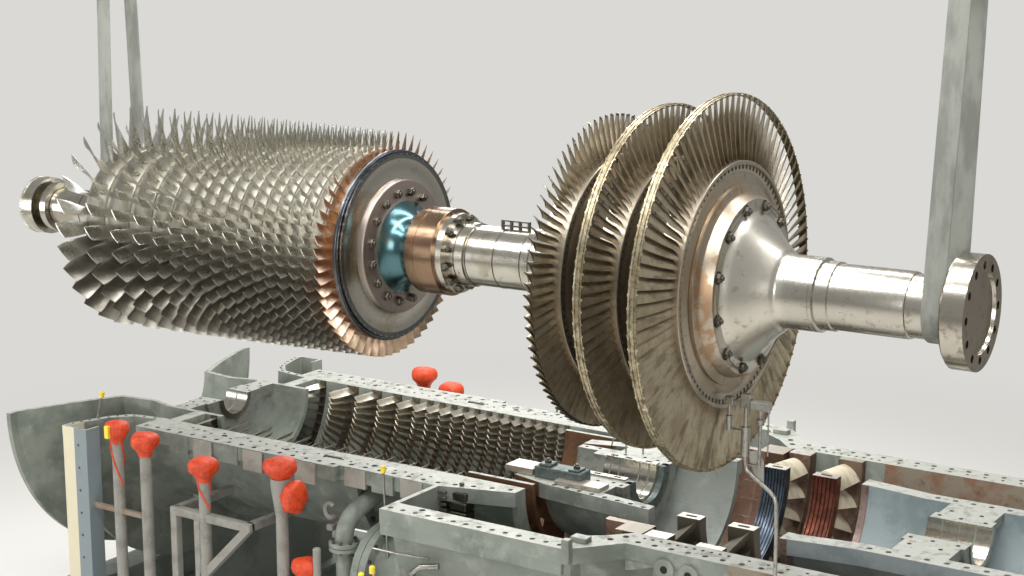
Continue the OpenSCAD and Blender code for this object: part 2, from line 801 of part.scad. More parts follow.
module exhaust_frame() {
    color([0.42, 0.36, 0.30])
    on_casing()
    union() {
        half_tube(shell_in, shell_in + 40, shell_b, exhaust_x);
        half_tube(shell_in, shell_in + 150, exhaust_x - 40, exhaust_x);
        joint_flanges(shell_in + 8, shell_r + flange_w, shell_b, exhaust_x, 16);
        for (ang = [-60, -20, 20, 60])
            rotate([ang, 0, 0])
                translate([2660, -40, -shell_in - sink])
                    cube([460, 80, shell_in + sink - hub_r_out[1] - seat_gap]);
    }
}

module exhaust_barrel() {
    color([0.45, 0.50, 0.50])
    on_casing()
    union() {
        lower_half([[hub_r_out[0] - hub_wall, hub_x[0]], [hub_r_out[0], hub_x[0]], [hub_r_out[1], hub_x[1]],
            [hub_r_out[1], exhaust_x], [hub_r_out[1] - hub_wall, exhaust_x],
            [hub_r_out[1] - hub_wall, hub_x[1]]]);
        half_tube(hub_r_out[0] - 55, hub_r_out[0] + 80, hub_x[0], hub_x[0] + 50);
        flange_pair([[hub_x[0], hub_r_out[0] - 30], [hub_x[1], hub_r_out[1] - 30],
            [exhaust_x, hub_r_out[1] - 30], [exhaust_x, hub_r_out[1] + 90], [hub_x[1], hub_r_out[1] + 90],
            [hub_x[0], hub_r_out[0] + 90]],
            [for (i = [0:11]) [hub_x[1] + 60 + i * 128, hub_r_out[1] + 90 - hole_in]]);
    }
}

module bearing_3() {
    color([0.45, 0.50, 0.50])
    on_casing()
    plain_bearing(rear_journal_r + 2, bearing_3_r, bearing_3_x, hub_r_out[1] - hub_wall - seat_gap, 70);
}

// Upright wide-flange beam along X
module beam(len, h, w) {
    web = w * 0.07;
    union() {
        translate([0, -w / 2, 0])
            cube([len, w, h * 0.08]);
        translate([0, -w / 2, h * 0.92])
            cube([len, w, h * 0.08]);
        translate([0, -web / 2, h * 0.05])
            cube([len, web, h * 0.9]);
    }
}

base_a = -4700;
base_b = 4200;
// Distance of the end cross beams from the base's ends
end_in = 150;
cross_x = [base_a + end_in, comp_a - 30, -1500, 0, 1630, base_b - end_in];

module base_frame() {
    color([0.45, 0.47, 0.45])
    difference() {
        union() {
            for (s = [-1, 1])
                translate([base_a, s * base_y, 0])
                    beam(base_b - base_a, base_h, base_w);
            for (x = cross_x)
                translate([x, -base_y, 0])
                    rotate([0, 0, 90])
                        beam(2 * base_y, base_h, base_w);
        }
        for (sx = [-1, 1], sy = [-1, 1])
            translate([sx * anchor_x, sy * (base_y + anchor_out), -1])
                cylinder(r = anchor_r, h = base_h * 0.08 + 2);
    }
}

// Upright plate on the base at station x, cut to a casing's round underside of radius r
module saddle_plate(x, r, h) {
    difference() {
        translate([x, -850, base_h])
            cube([50, 1700, h]);
        on_casing()
            bar(r + seat_gap, x - 1, x + 51);
    }
}

// Depth of the front and rear plates' upper edges below the joint plane
saddle_top = [600, 950];

// Plates under the inlet's rear flange and the exhaust frame, and legs under the turbine's flanges
module casing_supports() {
    color(casing_grey) {
        saddle_plate(comp_a - 50, bore_r(comp_a) + 115, joint_h - base_h - saddle_top[0]);
        saddle_plate(exhaust_x - 105, shell_in + 40, joint_h - base_h - saddle_top[1]);
        for (s = [-1, 1])
            translate([1500, s > 0 ? shell_r + 5 : -shell_r - 140, base_h])
                cube([260, 135, joint_h - base_h - flange_t]);
    }
}

// Capped pipe ends on the base, as [station, side, height of the cap's top above the floor]
pipe_ends = [
    [-3375, -1, 2160],
    [-3067, -1, 2110],
    [-2441, -1, 2010],
    [-1657, -1, 2140],
    [-1430, -1, 1400],
    [-2400, 1, 2160],
    [-2100, 1, 2060]
];
pipe_r = 46;
cap_r = 105;
cap_h = 157;
// Height and reach of the capped branch on the fourth pipe
branch_h = 1850;
branch_out = 180;
// Side of the box tube, height of the frame's top and its stations: two posts and the rail's end
box = 66;
frame_top = 1560;
post_x = [-2790, -2540];
rail_end = -1960;
// Distance of the frame's inner ends from the centreline
frame_in = 760;

// Capped pipes and a box-tube frame, all standing on the base beside the compressor
module pipe_stands() {
    color([0.85, 0.45, 0.12]) {
        for (i = [0:len(pipe_ends) - 1]) {
            p = pipe_ends[i];
            translate([p[0], p[1] * base_y, base_h])
                union() {
                    cylinder(r = pipe_r, h = p[2] - base_h - 10);
                    cylinder(r = pipe_r + 38, h = 24);
                    translate([0, 0, p[2] - base_h - cap_h])
                        cylinder(r = cap_r, h = cap_h);
                    if (i == 3)
                        translate([0, 0, branch_h - base_h]) {
                            bar(pipe_r + 6, 0, branch_out);
                            bar(cap_r - 10, branch_out - 110, branch_out);
                        }
                }
        }
        box_frame();
    }
}

// Welded box-tube frame: rail on two posts with a brace, and two arms towards the casing
module box_frame() {
    union() {
        translate([0, -base_y + box / 2, 0])
            rotate([90, 0, 0])
                linear_extrude(box)
                    union() {
                        translate([post_x[0], frame_top - box])
                            square([rail_end - post_x[0], box]);
                        for (x = post_x)
                            translate([x, base_h])
                                square([box, frame_top - base_h - 1]);
                        polygon([[post_x[1] + 50, 980], [post_x[1] + 50, 1070],
                            [rail_end - 90, frame_top - 60], [rail_end - 5, frame_top - 60]]);
                    }
        for (x = [post_x[0], rail_end - box])
            translate([x, -base_y, frame_top - box])
                cube([box, base_y - frame_in, box]);
    }
}

front_shaft();
compressor_wheel(0);  // compressor_wheel_1
compressor_wheel(1);  // compressor_wheel_2
compressor_wheel(2);  // compressor_wheel_3
compressor_wheel(3);  // compressor_wheel_4
compressor_wheel(4);  // compressor_wheel_5
compressor_wheel(5);  // compressor_wheel_6
compressor_wheel(6);  // compressor_wheel_7
compressor_wheel(7);  // compressor_wheel_8
compressor_wheel(8);  // compressor_wheel_9
compressor_wheel(9);  // compressor_wheel_10
compressor_wheel(10);  // compressor_wheel_11
compressor_wheel(11);  // compressor_wheel_12
compressor_wheel(12);  // compressor_wheel_13
compressor_wheel(13);  // compressor_wheel_14
compressor_wheel(14);  // compressor_wheel_15
compressor_wheel(15);  // compressor_wheel_16
compressor_wheel(16);  // compressor_wheel_17
compressor_rear_stub();
turbine_front_shaft();
turbine_wheel(0);  // turbine_wheel_1
turbine_wheel(1);  // turbine_wheel_2
turbine_wheel(2);  // turbine_wheel_3
turbine_spacers();
turbine_rear_shaft();
load_coupling();
slings();
base_frame();
casing_supports();
inlet_casing();
bearing_1();
compressor_casing();
front_stator_vanes();
middle_stator_vanes();
rear_stator_vanes();
inner_barrel();
bearing_2();
turbine_casing();
first_shroud();
second_nozzle();
third_nozzle();
exhaust_frame();
exhaust_barrel();
bearing_3();
pipe_stands();
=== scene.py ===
import math

import bpy
import numpy as np
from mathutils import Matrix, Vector


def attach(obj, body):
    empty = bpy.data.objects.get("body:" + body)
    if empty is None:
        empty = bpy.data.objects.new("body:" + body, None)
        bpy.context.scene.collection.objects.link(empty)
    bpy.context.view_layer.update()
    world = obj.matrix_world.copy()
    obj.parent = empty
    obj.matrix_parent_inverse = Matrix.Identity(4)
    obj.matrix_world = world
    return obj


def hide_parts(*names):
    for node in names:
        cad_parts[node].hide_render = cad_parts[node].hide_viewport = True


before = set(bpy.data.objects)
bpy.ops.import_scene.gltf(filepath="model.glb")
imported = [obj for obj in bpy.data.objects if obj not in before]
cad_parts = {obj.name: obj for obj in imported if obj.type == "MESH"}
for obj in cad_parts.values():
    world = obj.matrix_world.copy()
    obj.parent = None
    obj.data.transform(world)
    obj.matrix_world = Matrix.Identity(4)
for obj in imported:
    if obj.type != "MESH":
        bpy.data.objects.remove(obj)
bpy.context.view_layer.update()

AXIS = np.array([0.0, -1.46, 3.85])      # the hoisted rotor's axis passes here
SEAT = np.array([0.0, 0.0, 2.05])        # the casing's axis passes here
JOINT_Z = 2.05                           # height of the casing's joint plane
GAPS = [289, 252, 214, 186, 136, 124, 122, 122, 122, 121, 112, 110, 109, 109, 109, 109]
ROW_X = np.cumsum([-2912] + GAPS) / 1000
ROWS = len(ROW_X)
SHARE = np.arange(ROWS) / (ROWS - 1)
HUB = 0.520 + 0.135 * (1 - (1 - SHARE) ** 1.6)
TIP = 0.830 - 0.054 * SHARE
COUNT = [30, 30, 34, 38, 42, 45, 48, 50, 52, 54, 56, 58, 60, 60, 60, 60, 56]
PITCH = np.array(GAPS + [109]) / 1000
CHORD = np.where(np.arange(ROWS) == ROWS - 1, PITCH * 0.79, PITCH * 0.58 + 0.007)
WHEEL_A = np.array([-3.0] + [(ROW_X[i] - PITCH[i - 1] / 2) for i in range(1, ROWS)])
WHEEL_B = np.append(WHEEL_A[1:], -0.494)
BUCKETS = 92
REAR_X = [1.279, 1.663, 2.065]
RIM_W = 0.140
BUCKET_TIP = [0.987, 1.070, 1.150]
PLATFORM = 0.751
SPACER = 0.610


# ---------------------------------------------------------------- materials
# Masks that together pick the faces at the joint plane
JOINT_FACE = [("up", 0.9, 0.99), ("z", JOINT_Z - 0.003, JOINT_Z - 0.002)]


def linear(hexcode):
    """Hex sRGB colour as linear RGBA."""
    c = np.array([int(hexcode[k:k + 2], 16) for k in (0, 2, 4)]) / 255
    c = np.where(c <= 0.04045, c / 12.92, ((c + 0.055) / 1.055) ** 2.4)
    return (*map(float, c), 1.0)


def feed(tree, value, socket):
    """Links a value that is an output socket, and sets any other on the socket itself."""
    if isinstance(value, bpy.types.NodeSocket):
        tree.links.new(value, socket)
    else:
        socket.default_value = value


def node(tree, kind, settings=None, **inputs):
    """Adds a shader node. Settings are its own properties;
    inputs are values or links by socket name, or i0, i1 by number."""
    n = tree.nodes.new(kind)
    for key, value in (settings or {}).items():
        setattr(n, key, value)
    for key, value in inputs.items():
        socket = int(key[1:]) if key[0] == "i" and key[1:].isdigit() else key.replace("_", " ")
        feed(tree, value, n.inputs[socket])
    return n


def maths(tree, op, a, b=0.0, clamp=False):
    """Result of one math node."""
    return node(tree, "ShaderNodeMath", {"operation": op, "use_clamp": clamp}, i0=a, i1=b).outputs[0]


def ramp(tree, value, low, high):
    """0 below low, 1 above high, smooth between; low may be the larger."""
    return node(tree, "ShaderNodeMapRange", {"interpolation_type": "SMOOTHSTEP"},
                Value=value, From_Min=low, From_Max=high).outputs[0]


def radius(tree, xyz, centre):
    """Distance from the line along X through centre."""
    y = maths(tree, "SUBTRACT", xyz.outputs[1], centre[1])
    z = maths(tree, "SUBTRACT", xyz.outputs[2], centre[2])
    return maths(tree, "SQRT", maths(tree, "ADD", maths(tree, "MULTIPLY", y, y), maths(tree, "MULTIPLY", z, z)))


def mask(tree, spec, where, xyz):
    """Factor from 0 to 1 of one spec.
    ("noise", mm, low, high[, stretch]) clouds of that size; ("radius", centre, low, high) distance from an axis;
    ("x", low, high), ("y", low, high), ("z", low, high) station, side and height;
    ("up", low, high) how far a face looks up; ("facing", low, high) how far it looks towards the exhaust;
    ("spokes", count, low, high) streaks that run outward from the rotor's axis;
    ("turned", mm) fine rings about the rotor's axis."""
    kind = spec[0]
    if kind == "noise":
        stretch = spec[4] if len(spec) > 4 else (1, 1, 1)
        place = node(tree, "ShaderNodeMapping", None, Vector=where, Scale=stretch).outputs[0]
        n = node(tree, "ShaderNodeTexNoise", None, Vector=place, Scale=1000 / spec[1], Detail=4.0, Roughness=0.6)
        return ramp(tree, n.outputs[0], spec[2], spec[3])
    if kind == "radius":
        return ramp(tree, radius(tree, xyz, spec[1]), spec[2], spec[3])
    if kind in ("x", "y", "z"):
        return ramp(tree, xyz.outputs["xyz".index(kind)], spec[1], spec[2])
    if kind in ("up", "facing"):
        normal = node(tree, "ShaderNodeNewGeometry").outputs["True Normal"]
        parts = node(tree, "ShaderNodeSeparateXYZ", None, Vector=normal)
        return ramp(tree, parts.outputs["Z" if kind == "up" else "X"], spec[1], spec[2])
    if kind == "spokes":
        r = radius(tree, xyz, AXIS)
        y = maths(tree, "DIVIDE", maths(tree, "SUBTRACT", xyz.outputs[1], AXIS[1]), r)
        z = maths(tree, "DIVIDE", maths(tree, "SUBTRACT", xyz.outputs[2], AXIS[2]), r)
        v = node(tree, "ShaderNodeCombineXYZ", None, X=y, Y=z, Z=maths(tree, "MULTIPLY", r, 0.25)).outputs[0]
        n = node(tree, "ShaderNodeTexNoise", None, Vector=v, Scale=spec[1], Detail=4.0, Roughness=0.65)
        return ramp(tree, n.outputs[0], spec[2], spec[3])
    if kind == "turned":
        r = radius(tree, xyz, AXIS)
        v = node(tree, "ShaderNodeCombineXYZ", None, X=xyz.outputs[0], Y=r, Z=0.0).outputs[0]
        n = node(tree, "ShaderNodeTexNoise", None, Vector=v, Scale=1000 / spec[1], Detail=3.0, Roughness=0.7)
        return ramp(tree, n.outputs[0], 0.3, 0.7)
    raise ValueError(kind)


def material(name, colour, rough, metal=1.0, layers=(), bumps=(), coat=0.0):
    """Material of a base and layers laid over it.
    Each layer is (colour, roughness, metalness, amount, [mask specs multiplied together]);
    each bump is (height in mm, mask spec)."""
    m = bpy.data.materials.new(name)
    m.use_nodes = True
    tree = m.node_tree
    bsdf = tree.nodes["Principled BSDF"]
    where = node(tree, "ShaderNodeTexCoord").outputs["Object"]
    xyz = node(tree, "ShaderNodeSeparateXYZ", None, Vector=where)
    col, rgh, met = linear(colour), rough, metal
    for hexcode, r2, m2, amount, specs in layers:
        f = amount
        for spec in specs:
            f = maths(tree, "MULTIPLY", mask(tree, spec, where, xyz), f)
        mix = node(tree, "ShaderNodeMix", {"data_type": "RGBA"})
        for s, v in ((0, f), (6, col), (7, linear(hexcode))):
            feed(tree, v, mix.inputs[s])
        col = mix.outputs[2]
        rgh = node(tree, "ShaderNodeMix", None, i0=f, i2=rgh, i3=r2).outputs[0]
        if m2 != metal or not isinstance(met, float):
            met = node(tree, "ShaderNodeMix", None, i0=f, i2=met, i3=m2).outputs[0]
    for key, v in (("Base Color", col), ("Roughness", rgh), ("Metallic", met)):
        feed(tree, v, bsdf.inputs[key])
    normal = None
    for height, spec in bumps:
        b = node(tree, "ShaderNodeBump", None, Strength=1.0, Distance=height / 1000,
                 Height=mask(tree, spec, where, xyz))
        if normal is not None:
            tree.links.new(normal, b.inputs["Normal"])
        normal = b.outputs[0]
    if normal is not None:
        tree.links.new(normal, bsdf.inputs["Normal"])
    if coat:
        bsdf.inputs["Coat Weight"].default_value = coat
        bsdf.inputs["Coat Roughness"].default_value = 0.25
    return m


# Forged and milled stainless blade steel, dulled and lightly stained by running; painted shade makes it dark olive
# near the hub below the axis and dimmer over the rotor's whole lower half
BLADE = material("milled_blade_steel", "DCDAD2", 0.25, 1.0, [
    ("B9B6AA", 0.33, 1.0, 0.6, [("noise", 150, 0.42, 0.66)]),
    ("988F78", 0.45, 0.95, 0.45, [("noise", 42, 0.56, 0.75)]),
    # Painted shade: dark olive near the hub on the lower half, then a dimmer tone below the axis
    ("4E4738", 0.6, 0.9, 0.8, [("radius", AXIS, 0.70, 0.585), ("z", 4.1, 3.6)]),
    ("776F5D", 0.4, 1.0, 0.6, [("z", 3.85, 3.2)]),
], [(0.03, ("noise", 6, 0.3, 0.7))])
# Last row's steel, warm where it was heat-tinted by the hot discharge air, and darker on the rotor's lower half as
# painted shade
BLADE_WARM = material("heat_tinted_blade_steel", "D6BCA6", 0.3, 1.0, [
    ("A98A73", 0.4, 1.0, 0.7, [("noise", 60, 0.42, 0.66)]),
    # Painted shade: darker below the axis
    ("7E6B52", 0.45, 1.0, 0.6, [("z", 3.6, 3.2)]),
], [(0.04, ("noise", 6, 0.3, 0.7))])
# Turned wheel rims between the rows, bright above and dark below, the dark lower half being painted shade
RIM = material("turned_rim_steel_shaded_below", "A5A297", 0.46, 1.0, [
    ("8E8674", 0.45, 1.0, 0.6, [("noise", 60, 0.45, 0.66)]),
    # Painted shade over the lower half
    ("443E34", 0.6, 0.8, 0.95, [("z", 4.15, 3.55)]),
], [(0.05, ("turned", 4))])
# Carrier strips of the stator vanes
STRIP = material("oiled_carrier_strip", "5F594E", 0.5, 1.0, [
    ("443E34", 0.65, 0.7, 0.8, [("noise", 40, 0.4, 0.65)]),
])
# The last wheel's overhanging rim: a rust-brown band, then slate-blue ground steel
RIM_LAST = material("ground_rim_steel", "5E6266", 0.26, 1.0, [
    ("7A5637", 0.5, 1.0, 0.95, [("x", -0.522, -0.530)]),
    ("77777A", 0.24, 1.0, 0.6, [("noise", 70, 0.5, 0.7)]),
], [(0.15, ("turned", 3))])
# Rear face of the last compressor wheel: slate edge, grey dish, bolted ring of warm grey, then the blued stub
WEB = material("turned_wheel_face", "B3AFA5", 0.24, 1.0, [
    ("5C6063", 0.24, 1.0, 0.95, [("radius", AXIS, 0.592, 0.602)]),
    ("988C85", 0.4, 1.0, 0.95, [("radius", AXIS, 0.466, 0.458)]),
    ("4F747B", 0.2, 1.0, 0.95, [("radius", AXIS, 0.322, 0.306)]),
    ("8E7560", 0.22, 1.0, 1.0, [("x", -0.245, -0.222)]),
    ("6B5544", 0.42, 1.0, 0.4, [("noise", 55, 0.58, 0.74)]),
    ("8A7D58", 0.3, 1.0, 0.3, [("noise", 210, 0.54, 0.62)]),
], [(0.06, ("turned", 3))])
# Ground and polished journal steel
SHAFT = material("polished_shaft_steel", "BFBBB0", 0.2, 1.0, [
    ("99917F", 0.28, 1.0, 0.7, [("noise", 170, 0.42, 0.66)]),
    ("8A7E6A", 0.36, 1.0, 0.55, [("noise", 45, 0.6, 0.72)]),
], [(0.08, ("turned", 2.2))])
# Machined wheel disc and bell cone: satin silver cone, browner and rust-streaked towards the rim
DISC = material("heat_stained_disc", "C9C4B8", 0.30, 1.0, [
    ("A2937F", 0.36, 1.0, 0.85, [("radius", AXIS, 0.49, 0.56)]),
    ("94693F", 0.45, 0.95, 0.6,
     [("radius", AXIS, 0.50, 0.54), ("radius", AXIS, 0.63, 0.59), ("noise", 130, 0.5, 0.6)]),
    ("AFA797", 0.32, 1.0, 0.9, [("radius", AXIS, 0.655, 0.672)]),
    ("B0ACA2", 0.24, 1.0, 0.7, [("x", 2.42, 2.50)]),
    ("7B6A55", 0.45, 1.0, 0.5, [("noise", 60, 0.54, 0.72)]),
], [(0.08, ("turned", 3))])
# Cast bucket alloy, khaki grey from the hot gas
BUCKET = material("cast_bucket_alloy", "B9AE97", 0.42, 1.0, [
    ("8F8168", 0.5, 1.0, 0.55, [("noise", 160, 0.4, 0.62)]),
    ("6A5A47", 0.55, 0.9, 0.6, [("radius", AXIS, 0.83, 0.76)]),
    ("9B7F5E", 0.5, 1.0, 0.5, [("noise", 45, 0.55, 0.7, (1, 1, 0.3))]),
    ("5F5341", 0.55, 0.95, 0.6, [("spokes", 15, 0.50, 0.62)]),
], [(0.25, ("noise", 8, 0.3, 0.7))])
# Tip shrouds, with scattered near-white patches
TIPS = material("tip_shrouds_bright_patches", "B0A68D", 0.34, 1.0, [
    ("756A52", 0.45, 1.0, 0.8, [("noise", 30, 0.42, 0.6)]),
    ("5C4D33", 0.5, 1.0, 0.6, [("noise", 90, 0.52, 0.66)]),
    ("E4DECB", 0.28, 1.0, 0.9, [("noise", 46, 0.62, 0.70)]),
])
# Dark seal faces and spacers between the wheels
DARK = material("dark_scaled_steel", "474540", 0.5, 0.95, [
    ("5F4A3A", 0.65, 0.8, 0.7, [("noise", 70, 0.5, 0.7)]),
], [(0.3, ("turned", 5))])
# Coupling flange: polished rim, dull brown-grey face
COUPLING = material("coupling_steel", "B5AFA3", 0.2, 1.0, [
    ("857B6D", 0.5, 1.0, 0.9, [("facing", 0.7, 0.9)]),
    ("695B49", 0.5, 0.95, 0.55, [("noise", 60, 0.52, 0.7)]),
], [(0.08, ("turned", 2.5))])
# Black-oxide bolts and nuts; and painted shadow, near-black discs and plates laid where holes and slots are
BOLT = material("black_oxide_steel", "6E6A61", 0.4, 1.0, [
    ("3A3630", 0.55, 0.85, 0.7, [("noise", 14, 0.45, 0.65)]),
])
HOLE = material("painted_hole_and_slot_shadow", "1D1B18", 0.75, 0.2)
# Grey-green shop paint over cast casing, dusty, with the joint face machined bare
MACHINED = [
    ("ABACA3", 0.5, 0.3, 1.0, [*JOINT_FACE]),
    ("6F6E63", 0.6, 0.2, 0.6, [*JOINT_FACE, ("noise", 75, 0.5, 0.66)]),
    ("C2C2BA", 0.4, 0.5, 0.6, [*JOINT_FACE, ("noise", 130, 0.55, 0.68)]),
]
PAINT_LAYERS = [
    ("5F665D", 0.6, 0.0, 0.7, [("noise", 420, 0.42, 0.66)]),
    ("9DA098", 0.65, 0.0, 0.6, [("noise", 190, 0.5, 0.68)]),
    ("7A6A55", 0.75, 0.0, 0.4, [("noise", 90, 0.64, 0.74)]),
    *MACHINED,
]
CAST_BUMPS = [(0.8, ("noise", 14, 0.3, 0.7)), (1.5, ("noise", 160, 0.3, 0.7))]
CASING = material("casing_paint", "7F857C", 0.5, 0.0, PAINT_LAYERS, CAST_BUMPS)
# Paler, rubbed paint of the pads along the joint flanges
PALE = material("rubbed_flange_paint", "9A968C", 0.5, 0.1, [
    ("7D7B72", 0.6, 0.0, 0.6, [("noise", 130, 0.45, 0.66)]),
], CAST_BUMPS[:1])
# The inlet's paint, with its upright corner angles in cream; the grey-blue band beside the cream is painted shade
INLET = material("inlet_paint", "868B81", 0.5, 0.0, [
    *PAINT_LAYERS[:3],
    # Painted shade: grey-blue band beside the cream angle
    ("7D878A", 0.45, 0.0, 1.0, [("x", -3.935, -3.925), ("x", -3.635, -3.645), ("y", -1.300, -1.318)]),
    ("D3CAAF", 0.5, 0.0, 1.0, [("x", -3.935, -3.925), ("x", -3.788, -3.795), ("y", -1.300, -1.318)]),
    *MACHINED,
], CAST_BUMPS)
# The inner barrel and the diffuser wall before it, which heat has turned rust brown
BARREL = material("barrel_paint_and_scale", "858A83", 0.5, 0.0, [
    *PAINT_LAYERS[:3],
    ("6B4A30", 0.6, 0.3, 1.0, [("x", 0.125, 0.119), ("x", -0.46, -0.45)]),
    ("4C3524", 0.7, 0.2, 0.7, [("x", 0.125, 0.119), ("noise", 90, 0.42, 0.62)]),
    *MACHINED,
], CAST_BUMPS)
# Bare cast steel of the exhaust frame, rusted by heat below its machined joint face
HOT = material("rusted_cast_steel", "8C8272", 0.6, 0.3, [
    ("7A5136", 0.75, 0.0, 0.8, [("noise", 240, 0.42, 0.62)]),
    ("54422F", 0.8, 0.0, 0.6, [("noise", 80, 0.55, 0.7)]),
    *MACHINED,
], [(0.9, ("noise", 12, 0.3, 0.7))])
EXHAUST = material("exhaust_barrel_paint", "8F9A9B", 0.42, 0.1, [
    ("6F7C7E", 0.5, 0.0, 0.7, [("noise", 300, 0.42, 0.62)]),
    ("B59E95", 0.3, 0.9, 0.95, [("x", 2.146, 2.140)]),
    ("8A6E5E", 0.35, 0.9, 0.5, [("x", 2.146, 2.140), ("noise", 50, 0.48, 0.62)]),
    *MACHINED,
], [(0.5, ("noise", 14, 0.3, 0.7))])
VANE = material("forged_vane_steel", "E2DCCB", 0.3, 1.0, [
    ("B9AB92", 0.38, 1.0, 0.7, [("noise", 90, 0.42, 0.62)]),
    ("A8937A", 0.42, 1.0, 0.6, [("z", 1.99, 1.70)]),
], [(0.15, ("noise", 7, 0.3, 0.7))])
# Seal rings of the nozzle diaphragms: blued steel and red-brown scale; sand-coloured coating on their vanes. On the
# near side rings and vanes turn a dull olive grey, which is painted shade
SEAL_BLUE = material("blued_seal_steel", "66717F", 0.28, 1.0, [
    ("3B3936", 0.42, 0.9, 0.6, [("noise", 110, 0.45, 0.62)]),
    # Painted shade: dull olive grey on the near side
    ("6A6555", 0.5, 0.6, 0.9, [("y", 0.1, -0.3)]),
])
SEAL_RED = material("red_scaled_seal_steel", "8A5546", 0.32, 0.95, [
    ("472A20", 0.5, 0.8, 0.7, [("noise", 100, 0.42, 0.6)]),
    # Painted shade: dull olive grey on the near side
    ("6A6555", 0.5, 0.6, 0.9, [("y", 0.1, -0.3)]),
])
COATED = material("coated_nozzle_vanes", "C9BFA8", 0.6, 0.0, [
    ("9D9079", 0.65, 0.0, 0.7, [("noise", 130, 0.45, 0.65)]),
    ("6F5E4A", 0.7, 0.1, 0.6, [("z", 1.7, 1.45)]),
    # Painted shade: dull olive grey on the near side
    ("5D5848", 0.65, 0.2, 0.95, [("y", 0.1, -0.3)]),
], [(0.4, ("noise", 9, 0.3, 0.7))])
NOZZLE = material("oxidised_nozzle_alloy", "7C6B5E", 0.48, 0.9, [
    ("523C2F", 0.6, 0.7, 0.7, [("noise", 120, 0.42, 0.6)]),
], [(0.4, ("noise", 10, 0.3, 0.7))])
SHROUD = material("shroud_segments", "C09A88", 0.36, 0.9, [
    ("97705C", 0.45, 0.9, 0.6, [("noise", 90, 0.45, 0.65)]),
    ("5E4936", 0.5, 0.8, 0.9, [("x", 1.150, 1.156)]),
    ("A39C8E", 0.45, 0.6, 0.9, [*JOINT_FACE]),
], [(0.2, ("noise", 10, 0.3, 0.7))])
POLISHED = material("machined_bright_edge", "C2BCAF", 0.36, 0.9, [
    ("8C806D", 0.45, 0.9, 0.6, [("noise", 50, 0.5, 0.7)]),
])
BEARING = material("cast_bearing_housing", "83867E", 0.5, 0.3, [
    ("5F5F57", 0.6, 0.2, 0.7, [("noise", 80, 0.48, 0.66)]),
    *MACHINED,
], [(0.4, ("noise", 9, 0.3, 0.7))])
# Babbitt-lined bearing shells, scraped bright
LINER = material("babbitt_liner", "B9B5AA", 0.22, 1.0, [
    ("9E978A", 0.3, 1.0, 0.7, [("noise", 60, 0.45, 0.65)]),
], [(0.03, ("noise", 12, 0.35, 0.7))])
OILED = material("oiled_block_steel", "69736F", 0.42, 0.7, [
    ("47504C", 0.5, 0.6, 0.7, [("noise", 60, 0.45, 0.62)]),
    ("6E6450", 0.5, 0.8, 0.5, [("noise", 30, 0.58, 0.7)]),
])
# Woven polyester lifting webbing, grey with handling dirt
WEBBING = material("woven_webbing", "8F9189", 0.8, 0.0, [
    ("71736C", 0.9, 0.0, 0.8, [("noise", 120, 0.4, 0.62, (1, 1, 0.3))]),
], [(0.7, ("noise", 3, 0.35, 0.65, (4, 1, 1)))])
FORGED = material("forged_shackle_steel", "8A867E", 0.42, 0.95, [
    ("5A4C3E", 0.6, 0.7, 0.7, [("noise", 60, 0.5, 0.68)]),
])
# Orange-red tape wound over the pipe ends, yellow plastic caps, and the grey-painted pipes and box tube below
TAPE = material("orange_tape", "D8461C", 0.5, 0.0, [
    ("B03413", 0.5, 0.0, 0.7, [("noise", 45, 0.45, 0.62)]),
    ("EE6A3E", 0.36, 0.0, 0.5, [("noise", 22, 0.55, 0.7)]),
], [(1.5, ("noise", 26, 0.3, 0.7))])
YELLOW = material("moulded_yellow_cap", "EFD53A", 0.4, 0.0, [
    ("CDB02A", 0.5, 0.0, 0.5, [("noise", 16, 0.5, 0.7)]),
])
TUBE = material("grey_painted_tube", "8D8B83", 0.45, 0.0, [
    ("6E6D65", 0.55, 0.0, 0.7, [("noise", 120, 0.45, 0.65)]),
    ("A9A79D", 0.5, 0.0, 0.5, [("noise", 60, 0.54, 0.7)]),
], [(0.4, ("noise", 10, 0.3, 0.7))])
SILVER = material("drawn_instrument_pipe", "A8A69E", 0.32, 1.0, [
    ("6F6D65", 0.42, 1.0, 0.6, [("noise", 30, 0.48, 0.66)]),
])
BASE = material("base_paint", "757B73", 0.55, 0.0, [
    ("5C615A", 0.65, 0.0, 0.8, [("noise", 320, 0.42, 0.62)]),
    ("7B6350", 0.75, 0.0, 0.5, [("noise", 110, 0.62, 0.72)]),
], [(0.6, ("noise", 18, 0.3, 0.7))])


